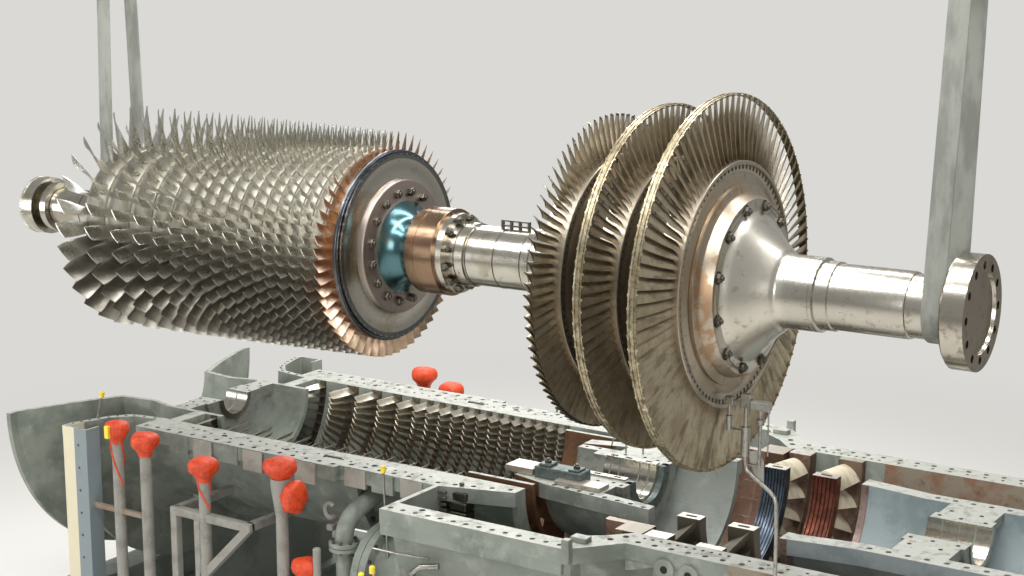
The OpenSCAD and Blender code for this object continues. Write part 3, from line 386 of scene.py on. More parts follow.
# ---------------------------------------------------------------- shapes
def put(name, chunks, mats, body, replaces=(), angle=35):
    """One object from chunks of (points, list of face arrays, material number),
    each a closed shape turned outward by its signed volume."""
    points, loops, sizes, picks, base = [], [], [], [], 0
    for pts, faces, mat in chunks:
        pts = np.asarray(pts, float).reshape(-1, 3)
        mid = pts.mean(0)
        volume = 0.0
        for f in faces:
            a = pts[f[:, 0]] - mid
            for k in range(1, f.shape[1] - 1):
                volume += np.einsum("ij,ij->i", a, np.cross(pts[f[:, k]] - mid, pts[f[:, k + 1]] - mid)).sum()
        for f in faces:
            f = f if volume > 0 else f[:, ::-1]
            loops.append((f + base).ravel())
            sizes.append(np.full(len(f), f.shape[1]))
            picks.append(np.full(len(f), mat))
        points.append(pts)
        base += len(pts)
    points, loops = np.concatenate(points), np.concatenate(loops)
    sizes, picks = np.concatenate(sizes), np.concatenate(picks)
    mesh = bpy.data.meshes.new(name)
    mesh.vertices.add(len(points))
    mesh.vertices.foreach_set("co", points.ravel())
    mesh.loops.add(len(loops))
    mesh.loops.foreach_set("vertex_index", loops.astype(np.int32))
    mesh.polygons.add(len(sizes))
    mesh.polygons.foreach_set("loop_start", np.concatenate([[0], np.cumsum(sizes)[:-1]]).astype(np.int32))
    mesh.polygons.foreach_set("material_index", picks.astype(np.int32))
    mesh.update(calc_edges=True)
    mesh.validate()
    for m in mats:
        mesh.materials.append(m)
    mesh.polygons.foreach_set("use_smooth", np.ones(len(mesh.polygons), bool))
    mesh.set_sharp_from_angle(angle=math.radians(angle))
    obj = bpy.data.objects.new(name, mesh)
    bpy.context.collection.objects.link(obj)
    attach(obj, body)
    if replaces:
        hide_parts(*replaces)
    return obj


def grid_faces(rows, cols, wrap_rows=False, wrap_cols=False):
    """Quads of a grid of rows by cols points, closed round either way."""
    r = np.arange(rows if wrap_rows else rows - 1)[:, None]
    c = np.arange(cols if wrap_cols else cols - 1)[None, :]
    a, b = r * cols + c, r * cols + (c + 1) % cols
    d, e = ((r + 1) % rows) * cols + c, ((r + 1) % rows) * cols + (c + 1) % cols
    return np.stack([a, b, e, d], -1).reshape(-1, 4)


def copies(pts, faces, angles, centre=None):
    """The shape given round the X axis at the top, turned to each angle about it and moved to centre."""
    pts = np.asarray(pts, float)
    c, s = np.cos(angles)[:, None], np.sin(angles)[:, None]
    y, z = pts[None, :, 1], pts[None, :, 2]
    out = np.stack([np.broadcast_to(pts[None, :, 0], (len(angles), len(pts))), y * c - z * s, y * s + z * c], -1)
    out = out + (0 if centre is None else centre)
    step = (np.arange(len(angles)) * len(pts))[:, None, None]
    return out.reshape(-1, 3), [(f[None] + step).reshape(-1, f.shape[1]) for f in faces]


def around(shape, r, angles, centre=AXIS):
    """Copies of a shape made on the X axis, lifted to radius r and set round centre at each angle."""
    return copies(shape[0] + [0, 0, r], shape[1], angles, centre)


def placed(pts, faces, spots):
    """Copies of a shape moved to each spot."""
    spots = np.asarray(spots, float).reshape(-1, 3)
    out = np.asarray(pts)[None] + spots[:, None]
    step = (np.arange(len(spots)) * len(pts))[:, None, None]
    return out.reshape(-1, 3), [(f[None] + step).reshape(-1, f.shape[1]) for f in faces]


def lathe(profile, centre, n=128):
    """Full turned solid about the X line through centre: each [station, radius] of a closed outline swept round;
    outlines that start and end on the axis are closed by their own end points."""
    p = np.asarray(profile, float)
    on_axis = p[0, 1] == 0
    ang = np.arange(n) * 2 * math.pi / n
    ring = p[1:-1] if on_axis else p
    pts = np.stack([np.repeat(ring[:, :1], n, 1), -ring[:, 1:] * np.sin(ang), ring[:, 1:] * np.cos(ang)], -1)
    pts = pts.reshape(-1, 3)
    if not on_axis:
        return pts + centre, [grid_faces(len(ring), n, wrap_rows=True, wrap_cols=True)]
    k, m = np.arange(n), len(ring) * n
    pts = np.concatenate([pts, [[p[0, 0], 0, 0], [p[-1, 0], 0, 0]]])
    last = (len(ring) - 1) * n
    return pts + centre, [grid_faces(len(ring), n, wrap_cols=True),
                          np.stack([(k + 1) % n, k, np.full(n, m)], -1),
                          np.stack([last + k, last + (k + 1) % n, np.full(n, m + 1)], -1)]


def half_ring(profile, centre, n=72):
    """Closed [station, radius] outline swept round the lower half of a circle, with flat ends."""
    p = np.asarray(profile, float)
    ang = np.radians(90 + np.linspace(0, 180, n))[:, None]
    pts = np.stack([np.repeat(p[None, :, 0], n, 0), -p[None, :, 1] * np.sin(ang), p[None, :, 1] * np.cos(ang)], -1)
    m = len(p)
    ends = [np.arange(m)[None, ::-1], (np.arange(m) + (n - 1) * m)[None]]
    return pts.reshape(-1, 3) + centre, [grid_faces(n, m, wrap_cols=True), *ends]


def aerofoil(camber, thick, n=7):
    """Closed section of unit chord bulging to +y: cosine stations, parabolic arc, four-digit thickness law."""
    t = (1 - np.cos(np.linspace(0, math.pi, n))) / 2
    half = 5 * thick * (0.2969 * np.sqrt(t) - 0.126 * t - 0.3516 * t ** 2 + 0.2843 * t ** 3 - 0.1036 * t ** 4)
    arc = 4 * camber * t * (1 - t)
    top = np.stack([t - 0.5, arc + half], -1)
    low = np.stack([t - 0.5, arc - half], -1)
    return np.concatenate([top, low[-2:0:-1]])


def blade(x, radii, chords, staggers, cambers, thicks, n=7):
    """One twisted blade standing at the top: an aerofoil at each radius, turned by its stagger
    and joined by quads, with flat ends."""
    rings = []
    for r, c, s, b, t in zip(radii, chords, staggers, cambers, thicks):
        q = aerofoil(b, t, n) * c
        a = math.radians(s)
        rings.append(np.stack([x + q[:, 0] * math.cos(a) - q[:, 1] * math.sin(a),
                               q[:, 0] * math.sin(a) + q[:, 1] * math.cos(a), np.full(len(q), r)], -1))
    m = len(rings[0])
    pts = np.concatenate(rings)
    return pts, [grid_faces(len(rings), m, wrap_cols=True), np.arange(m)[None, ::-1],
                 (np.arange(m) + (len(rings) - 1) * m)[None]]


def span(a, b, n, power=1.0):
    """n values from a to b, bunched to the start for power over 1."""
    return a + (b - a) * np.linspace(0, 1, n) ** power


def prism(sides, r, a, b, chamfer=0.0):
    """Cylinder or hex bar of that many sides along X from a to b, with a chamfered far end."""
    ang = (np.arange(sides) + 0.5) * 2 * math.pi / sides
    ring = np.stack([np.cos(ang), np.sin(ang)], -1)
    levels = [(a, r), (b - chamfer, r), (b, r - chamfer)] if chamfer else [(a, r), (b, r)]
    pts = np.concatenate([np.column_stack([np.full(sides, x), ring * q]) for x, q in levels])
    top = (len(levels) - 1) * sides
    return pts, [grid_faces(len(levels), sides, wrap_cols=True), np.arange(sides)[None, ::-1],
                 (np.arange(sides) + top)[None]]


def block(lo, hi, bevel=0.004):
    """Box from lo to hi with chamfered edges: each corner is three points,
    joined by the 6 faces, 12 edge strips and 8 corner triangles of its hull."""
    lo, hi = np.asarray(lo, float), np.asarray(hi, float)
    sign = np.array([[x, y, z] for x in (0, 1) for y in (0, 1) for z in (0, 1)])
    mid, half = (lo + hi) / 2, (hi - lo) / 2
    s = sign * 2 - 1
    pts = np.concatenate([mid + s * (half - bevel * (np.arange(3) != k)) for k in range(3)])
    faces4, faces3 = [], []

    def at(k, x, y, z):
        return k * 8 + x * 4 + y * 2 + z

    for k in range(3):
        u, v = (k + 1) % 3, (k + 2) % 3
        for side in (0, 1):
            loop = []
            for cu, cv in ((0, 0), (1, 0), (1, 1), (0, 1)):
                c = [0, 0, 0]
                c[k], c[u], c[v] = side, cu, cv
                loop.append(at(k, *c))
            faces4.append(loop if side else loop[::-1])
        for cu in (0, 1):
            for cv in (0, 1):
                c0, c1 = [0, 0, 0], [0, 0, 0]
                c0[u] = c1[u] = cu
                c0[v] = c1[v] = cv
                c1[k] = 1
                q = [at(u, *c0), at(u, *c1), at(v, *c1), at(v, *c0)]
                faces4.append(q if cu == cv else q[::-1])
    for j, c in enumerate(sign):
        tri = [at(0, *c), at(1, *c), at(2, *c)]
        faces3.append(tri if c.sum() % 2 else tri[::-1])
    return pts, [np.array(faces4), np.array(faces3)]


def tube(path, r, n=12):
    """Round tube along a path, its rings square to the path's direction and carried along without twist."""
    p = np.asarray(path, float)
    d = np.gradient(p, axis=0)
    d /= np.linalg.norm(d, axis=1)[:, None]
    u = np.cross(d[0], [0, 0, 1.0] if abs(d[0][2]) < 0.9 else [1.0, 0, 0])
    us = []
    for k in d:
        u = u - k * (u @ k)
        u /= np.linalg.norm(u)
        us.append(u)
    us = np.array(us)
    vs = np.cross(d, us)
    ang = np.arange(n) * 2 * math.pi / n
    pts = p[:, None] + r * (us[:, None] * np.cos(ang)[:, None] + vs[:, None] * np.sin(ang)[:, None])
    ends = [np.arange(n)[None, ::-1], (np.arange(n) + (len(p) - 1) * n)[None]]
    return pts.reshape(-1, 3), [grid_faces(len(p), n, wrap_cols=True), *ends]


def turned_to(pts, axis):
    """Points built along +X turned so that +X becomes the axis named: x, y or z, or one of these with a minus."""
    x, y, z = np.asarray(pts, float).T
    return np.stack({"z": (-z, y, x), "-z": (z, y, -x), "y": (-y, x, z), "-y": (y, -x, z), "-x": (-x, -y, z),
                     "x": (x, y, z)}[axis], -1)


def ring_angles(count, offset=0.5):
    """count angles evenly round the circle, in radians."""
    return (np.arange(count) + offset) * 2 * math.pi / count


def lower_angles(count):
    """count angles evenly spread under the joint plane, as a quarter to three quarters of a turn."""
    return math.pi * (0.5 + (np.arange(count) + 0.5) / count)


def tagged(mat, *shapes):
    """Shapes as chunks of one material number."""
    return [(*s, mat) for s in shapes]


def hexes(spots, axis, r, h, stud=0.0):
    """Hexagon heads at spots, standing along the axis named, with a stud's end above if it has a length."""
    shapes = [prism(6, r, -0.001, h, r * 0.14)]
    if stud:
        shapes.append(prism(10, r * 0.52, h - 0.001, h + stud, r * 0.08))
    return [placed(turned_to(pts, axis), faces, spots) for pts, faces in shapes]


def dots(spots, axis, r, lift=0.0012):
    """Thin round discs at spots, which paint the shadow inside tapped and dowel holes in a face."""
    pts, faces = prism(16, r, -0.001, lift)
    return placed(turned_to(pts, axis), faces, spots)


def slab(outline, z0, z1):
    """Flat plate of a [x, y] outline between two heights."""
    q = np.asarray(outline, float)
    m = len(q)
    pts = np.concatenate([np.column_stack([q, np.full(m, z)]) for z in (z0, z1)])
    return pts, [grid_faces(2, m, wrap_cols=True), np.arange(m)[None, ::-1], (np.arange(m) + m)[None]]


def plate_at(s, x, y, z):
    """Flat plate between two stations, two distances from the centreline on side s, and two heights."""
    return slab([[x[0], s * y[0]], [x[1], s * y[0]], [x[1], s * y[1]], [x[0], s * y[1]]], *z)


def side_block(s, x, y, z, bevel):
    """Chamfered block between two stations, two distances from the centreline on side s, and two heights."""
    near, far = sorted((s * y[0], s * y[1]))
    return block([x[0], near, z[0]], [x[1], far, z[1]], bevel)


def both_sides(spots):
    """Points on the joint plane at each (station, distance), on both sides."""
    return [[x, s * y, JOINT_Z] for s in (-1, 1) for x, y in spots]


def upright(outline, centre, n=28):
    """Turned solid about an upright line through centre,
    from [height, radius] points that start and end on the line."""
    pts, faces = lathe(outline, (0, 0, 0), n)
    return turned_to(pts, "z") + np.asarray(centre, float), faces


def bore(x):
    """Inner radius of the compressor casing's bore."""
    return 0.850 - 0.054 * np.minimum(1, (x - ROW_X[0]) / (ROW_X[-1] - ROW_X[0]))


# ---------------------------------------------------------------- compressor rotor
for i in range(ROWS):
    a, b, h, t = WHEEL_A[i], WHEEL_B[i], HUB[i], SHARE[i]
    land = (b - a) * 0.12
    rim = lathe([[a, 0], [a, h - 0.010], [a + land - 0.003, h - 0.010], [a + land, h - 0.002],
                 [a + land + 0.003, h], [b - land - 0.003, h], [b - land, h - 0.002],
                 [b - land + 0.003, h - 0.010], [b, h - 0.010], [b, 0]], AXIS, 144)
    n = 5 if i > 3 else 7
    radii = span(h - 0.008, TIP[i], n)
    # Stagger grows from root to tip as the blade's own speed does, and the chord narrows towards a leaf-shaped tip
    leaf = 1.04 - 0.16 * np.linspace(0, 1, n) ** 3 * (1.5 - t)
    shape = blade(ROW_X[i], radii, CHORD[i] * leaf,
                  span(-(10 + 24 * t), -(47 + 7 * t), n), span(-0.13, -0.05, n), span(0.10, 0.045, n),
                  8 if i < 4 else 7)
    row = copies(*shape, ring_angles(COUNT[i]), AXIS)
    put(f"compressor_row_{i + 1:02d}", [(*rim, 1), (*row, 0)],
        [BLADE_WARM, RIM_LAST] if i == ROWS - 1 else [BLADE, RIM],
        "rotor", [f"compressor_wheel_{i + 1}"], 40)

# Rear face of the last wheel, bolted ring and trumpet-shaped stub with its coupling flange
BACK = -0.494
dish = [[BACK + 0.016 - 0.006 * math.sin(math.pi * k / 8), 0.612 - 0.0178 * k] for k in range(9)]
horn = [[BACK + 0.066 + 0.140 * k / 10, 0.215 + 0.104 * (1 - k / 10) ** 2.4] for k in range(11)]
web = lathe([[BACK, 0], [BACK, 0.625], [BACK + 0.004, 0.632], [BACK + 0.018, 0.632], [BACK + 0.020, 0.622],
             *dish, [BACK + 0.018, 0.462], [BACK + 0.052, 0.455], [BACK + 0.058, 0.450], [BACK + 0.060, 0.444],
             [BACK + 0.060, 0.334], [BACK + 0.064, 0.325], *horn, [-0.224, 0.215], [-0.220, 0.220],
             [-0.220, 0.288], [-0.216, 0.293], [-0.150, 0.293], [-0.148, 0.290], [-0.142, 0.290],
             [-0.140, 0.293], [-0.004, 0.293], [0, 0.289], [0, 0]], AXIS, 160)
nut = prism(6, 0.031, BACK + 0.058, BACK + 0.088, 0.004)
stud = prism(16, 0.016, BACK + 0.060, BACK + 0.100, 0.003)
nuts = tagged(1, *(around(s, 0.376, ring_angles(16)) for s in (nut, stud)))
# Dots of balance plugs near the wheel's edge
plug = prism(10, 0.006, BACK - 0.002, BACK + 0.0195)
nuts += tagged(2, around(plug, 0.6245, ring_angles(60)))
put("compressor_rear_face", [(*web, 0), *nuts], [WEB, BOLT, SHAFT], "rotor", ["compressor_rear_stub"])


# ---------------------------------------------------------------- turbine wheels
for k in range(3):
    b = REAR_X[k]
    a = b - RIM_W
    tip = BUCKET_TIP[k]
    disc = lathe([[a, 0], [a, SPACER + 0.04], [a + 0.008, SPACER + 0.05], [a + 0.010, 0.690], [a + 0.004, 0.700],
                  [a + 0.004, 0.724], [a - 0.010, 0.727], [a - 0.010, 0.747], [a - 0.006, PLATFORM],
                  [b + 0.006, PLATFORM], [b + 0.010, 0.747], [b + 0.010, 0.727], [b - 0.004, 0.724],
                  [b - 0.004, 0.700], [b - 0.010, 0.690], [b - 0.008, SPACER + 0.05], [b, SPACER + 0.04], [b, 0]],
                 AXIS, 184)
    chord = [0.112, 0.126, 0.138][k]
    n = 7
    top = tip - (0.010 if k else 0.0)
    shape = blade((a + b) / 2, span(PLATFORM - 0.006, top, n), span(chord, chord * (0.86 if k < 2 else 0.82), n),
                  span(-(16 + 4 * k), -(50 + 6 * k), n, 0.85), span(0.20, 0.09, n), span(0.13, 0.045, n), 9)
    chunks = [(*disc, 1), (*copies(*shape, ring_angles(BUCKETS), AXIS), 0)]
    # Fir-tree root ends in the rim, each a dark slot
    root = prism(4, 0.0125, b - 0.012, b - 0.0015)
    for side in (0, 1):
        pts = root[0] * [1, 0.8, 1.5] + [0, 0, 0.712]
        if side:
            pts = pts * [-1, 1, 1] + [a + b, 0, 0]
        chunks.append((*copies(pts, root[1], ring_angles(BUCKETS), AXIS), 2))
    m = (a + b) / 2
    if k:
        # Narrow band of tip shrouds with two seal teeth;
        # each bucket's own shroud end stands out of it on both sides
        w = 0.027
        band = lathe([[m - w, tip - 0.016], [m - w, tip - 0.006], [m - 0.017, tip - 0.005], [m - 0.016, tip],
                      [m - 0.012, tip], [m - 0.011, tip - 0.005], [m + 0.011, tip - 0.005], [m + 0.012, tip],
                      [m + 0.016, tip], [m + 0.017, tip - 0.005], [m + w, tip - 0.006], [m + w, tip - 0.016]],
                     AXIS, 184)
        lug = block([m - 0.034, -0.011, tip - 0.015], [m + 0.034, 0.004, tip - 0.0065], 0.002)
        notch = block([m - w - 0.0006, -0.0014, tip - 0.0166], [m + w + 0.0006, 0.0014, tip - 0.0052], 0.0004)
        chunks += [(*band, 3), (*copies(*lug, ring_angles(BUCKETS), AXIS), 3),
                   (*copies(*notch, ring_angles(BUCKETS, 0.0), AXIS), 2)]
    else:
        # Squealer rims of the first wheel's free bucket tips
        cap = blade(m, [top - 0.014, top], [chord * 0.89] * 2, [-50] * 2, [0.09] * 2, [0.085] * 2, 7)
        chunks.append((*copies(*cap, ring_angles(BUCKETS), AXIS), 2))
    put(f"turbine_buckets_{k + 1}", chunks, [BUCKET, DISC, DARK, TIPS], "rotor",
        [f"turbine_wheel_{k + 1}"], 40)


# ---------------------------------------------------------------- slings
def webbing(x, r, lean):
    """Endless webbing belt: a flat section carried round the shaft, up both legs and over the shackle's pin."""
    w, t, pin, top = 0.125, 0.016, 0.120, 1.950
    inner = r + 0.0003
    turn = math.asin((inner - pin) / top)
    low = -math.pi / 2 + np.linspace(-(math.pi / 2 + turn), math.pi / 2 + turn, 40)
    high = math.pi / 2 + np.linspace(-(math.pi / 2 - turn), math.pi / 2 - turn, 24)
    path = [(0.0, inner * math.cos(q), inner * math.sin(q), math.cos(q), math.sin(q)) for q in low]
    up = [(lean, pin * math.cos(q), top + pin * math.sin(q), math.cos(q), math.sin(q)) for q in high]
    legs = np.linspace(0, 1, 14)[1:-1, None]
    path = np.array(path)
    up = np.array(up)
    go = path[-1] + (up[0] - path[-1]) * legs
    back = up[-1] + (path[0] - up[-1]) * legs
    line = np.concatenate([path, go, up, back])
    # Section across the belt: two plies with a seam line along each edge
    sec = np.array([[-0.5, 0.15], [-0.47, 0.0], [0.47, 0.0], [0.5, 0.15], [0.5, 0.44], [0.497, 0.5],
                    [0.5, 0.56], [0.5, 0.85], [0.47, 1.0], [-0.47, 1.0], [-0.5, 0.85], [-0.5, 0.56],
                    [-0.497, 0.5], [-0.5, 0.44]])
    pts = np.stack([x + line[:, None, 0] + sec[None, :, 0] * w,
                    line[:, None, 1] + line[:, None, 3] * sec[None, :, 1] * t,
                    line[:, None, 2] + line[:, None, 4] * sec[None, :, 1] * t], -1)
    belt = (pts.reshape(-1, 3) + AXIS, [grid_faces(len(line), len(sec), wrap_rows=True, wrap_cols=True)])
    ear = w / 2 + 0.045
    mid = np.array([x + lean, 0, top]) + AXIS
    chunks = [(*belt, 0)]
    pinbar = prism(40, pin - 0.0005, -ear, ear, 0.004)
    chunks.append((pinbar[0] + mid, pinbar[1], 1))
    for s in (-1, 1):
        cheek = prism(40, pin + t + 0.014, -0.011, 0.011, 0.003)
        chunks.append((cheek[0] + mid + [s * (w / 2 + 0.015), 0, 0], cheek[1], 1))
    ang = np.linspace(0, math.pi, 28)
    bow = np.stack([(ear + 0.020) * np.cos(ang), 0 * ang, (ear + 0.020) * np.sin(ang)], -1)
    chunks.append((*tube(bow + mid, 0.032, 16), 1))
    shank = prism(32, 0.046, ear, ear + 0.130, 0.006)
    chunks.append((turned_to(shank[0], "z") + mid, shank[1], 1))
    return chunks


front_x, rear_x = -3.100, 3.444 - 0.0625 - 0.018
put("slings_and_shackles", webbing(front_x, 0.175, 0.0) + webbing(rear_x, 0.185, 0.060),
    [WEBBING, FORGED], "root", ["slings"], 50)


# ---------------------------------------------------------------- shafts, collar and couplings
END = 3.444
bell = [[0.150 + 0.195 * q, 0.430 - 0.190 * q - 0.012 * math.sin(math.pi * q)] for q in np.linspace(0, 1, 12)]
rear = [[0, 0], [0, 0.600], [0.004, 0.610], [0.026, 0.610], [0.030, 0.604], [0.034, 0.575], [0.045, 0.560],
        [0.088, 0.548], [0.096, 0.540], [0.110, 0.535], [0.116, 0.530], [0.122, 0.455], [0.136, 0.440],
        *bell, [0.352, 0.228], [0.365, 0.222], [0.56, 0.222], [0.562, 0.219], [0.570, 0.219], [0.572, 0.222]]
rear = [[REAR_X[2] + x, r] for x, r in rear]
rear += [[2.650, 0.222], [2.656, 0.205], [2.735, 0.205], [2.741, 0.196], [3.184, 0.196], [3.190, 0.193],
         [3.196, 0.193], [3.200, 0.185], [END, 0.185], [END, 0]]
nut = prism(6, 0.030, 2.183, 2.209, 0.004)
stud = prism(14, 0.015, 2.208, 2.222, 0.003)
recess = prism(24, 0.040, 2.180, 2.1866)
at = ring_angles(12)
wires = [copies(*tube(np.stack([np.full(9, 2.197), -0.502 * np.sin(q), 0.502 * np.cos(q)], -1), 0.0035, 6),
                [0.0], AXIS)
         for q in (np.linspace(s + 0.075, s + 0.45, 9) for s in at[::2])]
put("bell_and_rear_shaft",
    [(*lathe(rear, AXIS, 160), 0),
     *tagged(1, around(nut, 0.488, at), around(stud, 0.488, at), *wires),
     *tagged(2, around(recess, 0.488, at))],
    [DISC, BOLT, DARK], "rotor", ["turbine_rear_shaft"])

# Rings of narrow grooves round the journals
grooves = [lathe([[x, r - 0.002], [x, r + 0.0012], [x + 0.007, r + 0.0012], [x + 0.007, r - 0.002]], AXIS, 96)
           for x, r in ((0.120, 0.212), (0.204, 0.200), (0.420, 0.200), (0.628, 0.200), (0.700, 0.214),
                        (-3.790, 0.150), (-3.470, 0.150))]
put("journal_grooves", tagged(0, *grooves), [DARK], "rotor")

# Nuts of the coupling between compressor and turbine, and the toothed and bolted front collar
nuts = [around(s, 0.240, ring_angles(12))
        for s in (prism(6, 0.026, 0.059, 0.086, 0.004), prism(12, 0.014, 0.085, 0.098, 0.002))]
teeth = block([-4.043, -0.006, 0.218], [-4.018, 0.006, 0.2262], 0.0015)
head, head_faces = prism(6, 0.016, 0, 0.012, 0.002)
heads = around((turned_to(head, "-x") + [-4.0455, 0, 0], head_faces), 0.182, ring_angles(16))
put("coupling_nuts", tagged(0, *nuts), [BOLT], "rotor")
put("front_collar_teeth_and_bolts", [(*copies(*teeth, ring_angles(60), AXIS), 0), *tagged(1, heads)], [SHAFT, BOLT],
    "rotor")
bar = [block([0.37, -0.012, 0.212], [0.59, 0.012, 0.222], 0.002),
       block([0.37, -0.012, 0.244], [0.59, 0.012, 0.254], 0.002),
       *(block([x, -0.012, 0.196], [x + 0.016, 0.012, 0.252], 0.002) for x in (0.37, 0.437, 0.504, 0.574))]
put("slotted_bar_on_shaft", [(p + AXIS, f, 0) for p, f in bar], [BOLT], "rotor")


# ---------------------------------------------------------------- stator vanes
def vane_rows(name, rows, guide=False):
    """Half rings of twisted vanes on their carrier strips, standing for one CAD node."""
    chunks = []
    for i in rows:
        x, w = ROW_X[i] + PITCH[i] / 2, PITCH[i] * 0.40
        a, b = x - w / 2, x + w / 2
        inner = (HUB[i] + HUB[min(i + 1, ROWS - 1)]) / 2 + 0.010
        chord = 0.080 - 0.030 * SHARE[i] ** 0.6
        chunks.append((*half_ring([[a, bore(a) - 0.0103], [a, bore(a) - 0.0003], [b, bore(b) - 0.0003],
                                   [b, bore(b) - 0.0103]], SEAT), 1))
        vane = blade(x, span(inner, bore(b) - 0.005, 4), span(chord * 0.92, chord * 1.04, 4), span(46, 33, 4),
                     span(0.07, 0.12, 4), [0.10] * 4, 6)
        chunks.append((*copies(*vane, lower_angles(round(36 + 12 * SHARE[i])), SEAT), 0))
    if guide:
        top, low, x = bore(-3.050) - 0.0003, 0.5603, -3.115
        bands = [half_ring([[x - 0.03, r], [x - 0.03, r + 0.01], [x + 0.03, r + 0.01], [x + 0.03, r]], SEAT)
                 for r in (top - 0.01, low)]
        chunks += tagged(1, *bands)
        vane = blade(x, span(low + 0.005, top - 0.005, 5), [0.080] * 5, span(8, 22, 5), span(0.03, 0.06, 5),
                     [0.10] * 5, 6)
        chunks.append((*copies(*vane, lower_angles(32), SEAT), 0))
    put(name, chunks, [VANE, STRIP], "root", [name.replace("twisted", "stator")], 40)


vane_rows("front_twisted_vanes", range(0, 5), True)
vane_rows("middle_twisted_vanes", range(5, 11))
vane_rows("rear_twisted_vanes", range(11, 17))


# ---------------------------------------------------------------- nozzle diaphragms and shroud
def diaphragm(name, k, tip, seal, teeth):
    """Half diaphragm: labyrinth ring with its teeth on the bore, thick coated vanes and an outer ring;
    machined ends with a slot each."""
    a, b = REAR_X[k] + 0.035, REAR_X[k + 1] - 0.175
    step = (b - a) / teeth
    low = [[a + step * (j + u), r] for j in range(teeth)
           for u, r in ((0.30, 0.640), (0.42, 0.630), (0.58, 0.630), (0.70, 0.640))]
    ring = [[a, 0.640], *low, [b, 0.640], [b, 0.728], [b - 0.012, 0.735], [a + 0.012, 0.735], [a, 0.728]]
    outer = [[a, tip], [b, tip], [b, 1.2017], [a, 1.2017]]
    vane = blade((a + b) / 2, span(0.728, tip + 0.008, 6), [(b - a) * 1.02] * 6, span(40, 28, 6),
                 span(-0.14, -0.08, 6), span(0.38, 0.32, 6), 12)
    chunks = [(*half_ring(ring, SEAT, 96), 0), (*half_ring(outer, SEAT, 96), 1),
              (*copies(*vane, lower_angles(18), SEAT), 2)]
    for s in (-1, 1):
        tops = [plate_at(s, (a + 0.001, b - 0.001), y, (JOINT_Z - 0.002, JOINT_Z + 0.001))
                for y in ((0.641, 0.733), (tip + 0.001, 1.200))]
        # Slot in each machined end: a near-black plate that paints its shadow
        q = np.linspace(0, 2 * math.pi, 25)[:-1]
        slot = np.stack([(a + b) / 2 + 0.030 * np.sign(np.cos(q)) + 0.014 * np.cos(q),
                         s * 0.687 + 0.014 * np.sin(q)], -1)
        chunks += [*tagged(3, *tops), (*slab(slot, JOINT_Z, JOINT_Z + 0.002), 4)]
    put(name, chunks, [seal, NOZZLE, COATED, POLISHED, HOLE], "root",
        [name.replace("_diaphragm", "_nozzle")], 40)


diaphragm("second_diaphragm", 0, 1.080, SEAL_BLUE, 7)
diaphragm("third_diaphragm", 1, 1.130, SEAL_RED, 6)
# Retaining ring in front of the shroud, and the bright joints between the shroud's segments
retainer = half_ring([[0.935, 1.000], [0.940, 0.995], [0.990, 0.995], [0.994, 1.000], [1.085, 1.000],
                      [1.1005, 1.004], [1.1005, 1.060], [0.950, 1.060], [0.935, 1.045]],
                     SEAT, 96)
joint = block([0.994, -0.0018, -1.0010], [1.298, 0.0018, -0.9968], 0.0006)
edge = block([1.094, -0.030, -1.0010], [1.101, 0.030, -0.9968], 0.0006)
put("shroud_ring_and_joints",
    [(*retainer, 1), *tagged(0, *(copies(*s, np.radians(np.arange(-84, 85, 8.0)), SEAT) for s in (joint, edge)))],
    [POLISHED, SHROUD], "root")


# ---------------------------------------------------------------- bearings
def liner(x0, x1, r, out, steps):
    """Half shell with grooves across its bore and a lip at each end."""
    marks = [[x, r + d] for s in steps
             for x, d in ((s - 0.007, 0), (s - 0.005, 0.004), (s + 0.005, 0.004), (s + 0.007, 0))]
    return half_ring([[x0, r], *marks, [x1, r], [x1, out], [x1 - 0.012, out], [x1 - 0.012, r + 0.006],
                      [x0 + 0.012, r + 0.006], [x0 + 0.012, out], [x0, out]],
                     SEAT, 64)


Z = JOINT_Z
shells = [liner(-3.632, -3.388, 0.1505, 0.196, [-3.51]),
          liner(0.196, 0.640, 0.2003, 0.205, [0.25, 0.33, 0.50, 0.58]),
          liner(2.743, 3.192, 0.1965, 0.232, [2.85, 2.97, 3.08])]
# Raised halves of the second bearing's shell: two bars along its joint with slots, and an oil ring aft
flats = [plate_at(s, (0.205, 0.635), (0.206, 0.262), (Z - 0.001, Z + 0.014)) for s in (-1, 1)]
# The slots and holes are near-black plates and discs that paint their shadow
slots = [plate_at(s, (x, x + 0.055), (0.222, 0.246), (Z + 0.012, Z + 0.0155))
         for s in (-1, 1) for x in (0.235, 0.36, 0.53)]
slots += [dots(both_sides(((0.66, 0.28), (0.66, 0.36), (0.30, 0.33), (0.46, 0.35), (0.58, 0.33), (-0.06, 0.36),
                           (0.05, 0.37))), "z", 0.014)]
slots += [dots(both_sides(((2.80, 0.27), (2.95, 0.27), (3.12, 0.27), (2.84, 0.40), (3.05, 0.40))), "z", 0.015)]
slots += [dots(both_sides(((-3.59, 0.22), (-3.50, 0.27), (-3.43, 0.22), (-3.56, 0.34), (-3.46, 0.40),
                           (-3.52, 0.46))), "z", 0.013)]
oil_ring = half_ring([[0.652, 0.215], [0.700, 0.215], [0.702, 0.300], [0.650, 0.300]], SEAT, 64)
put("bearing_liners", [*tagged(0, *shells, *flats), *tagged(1, *slots), (*oil_ring, 2)], [LINER, HOLE, OILED],
    "root")

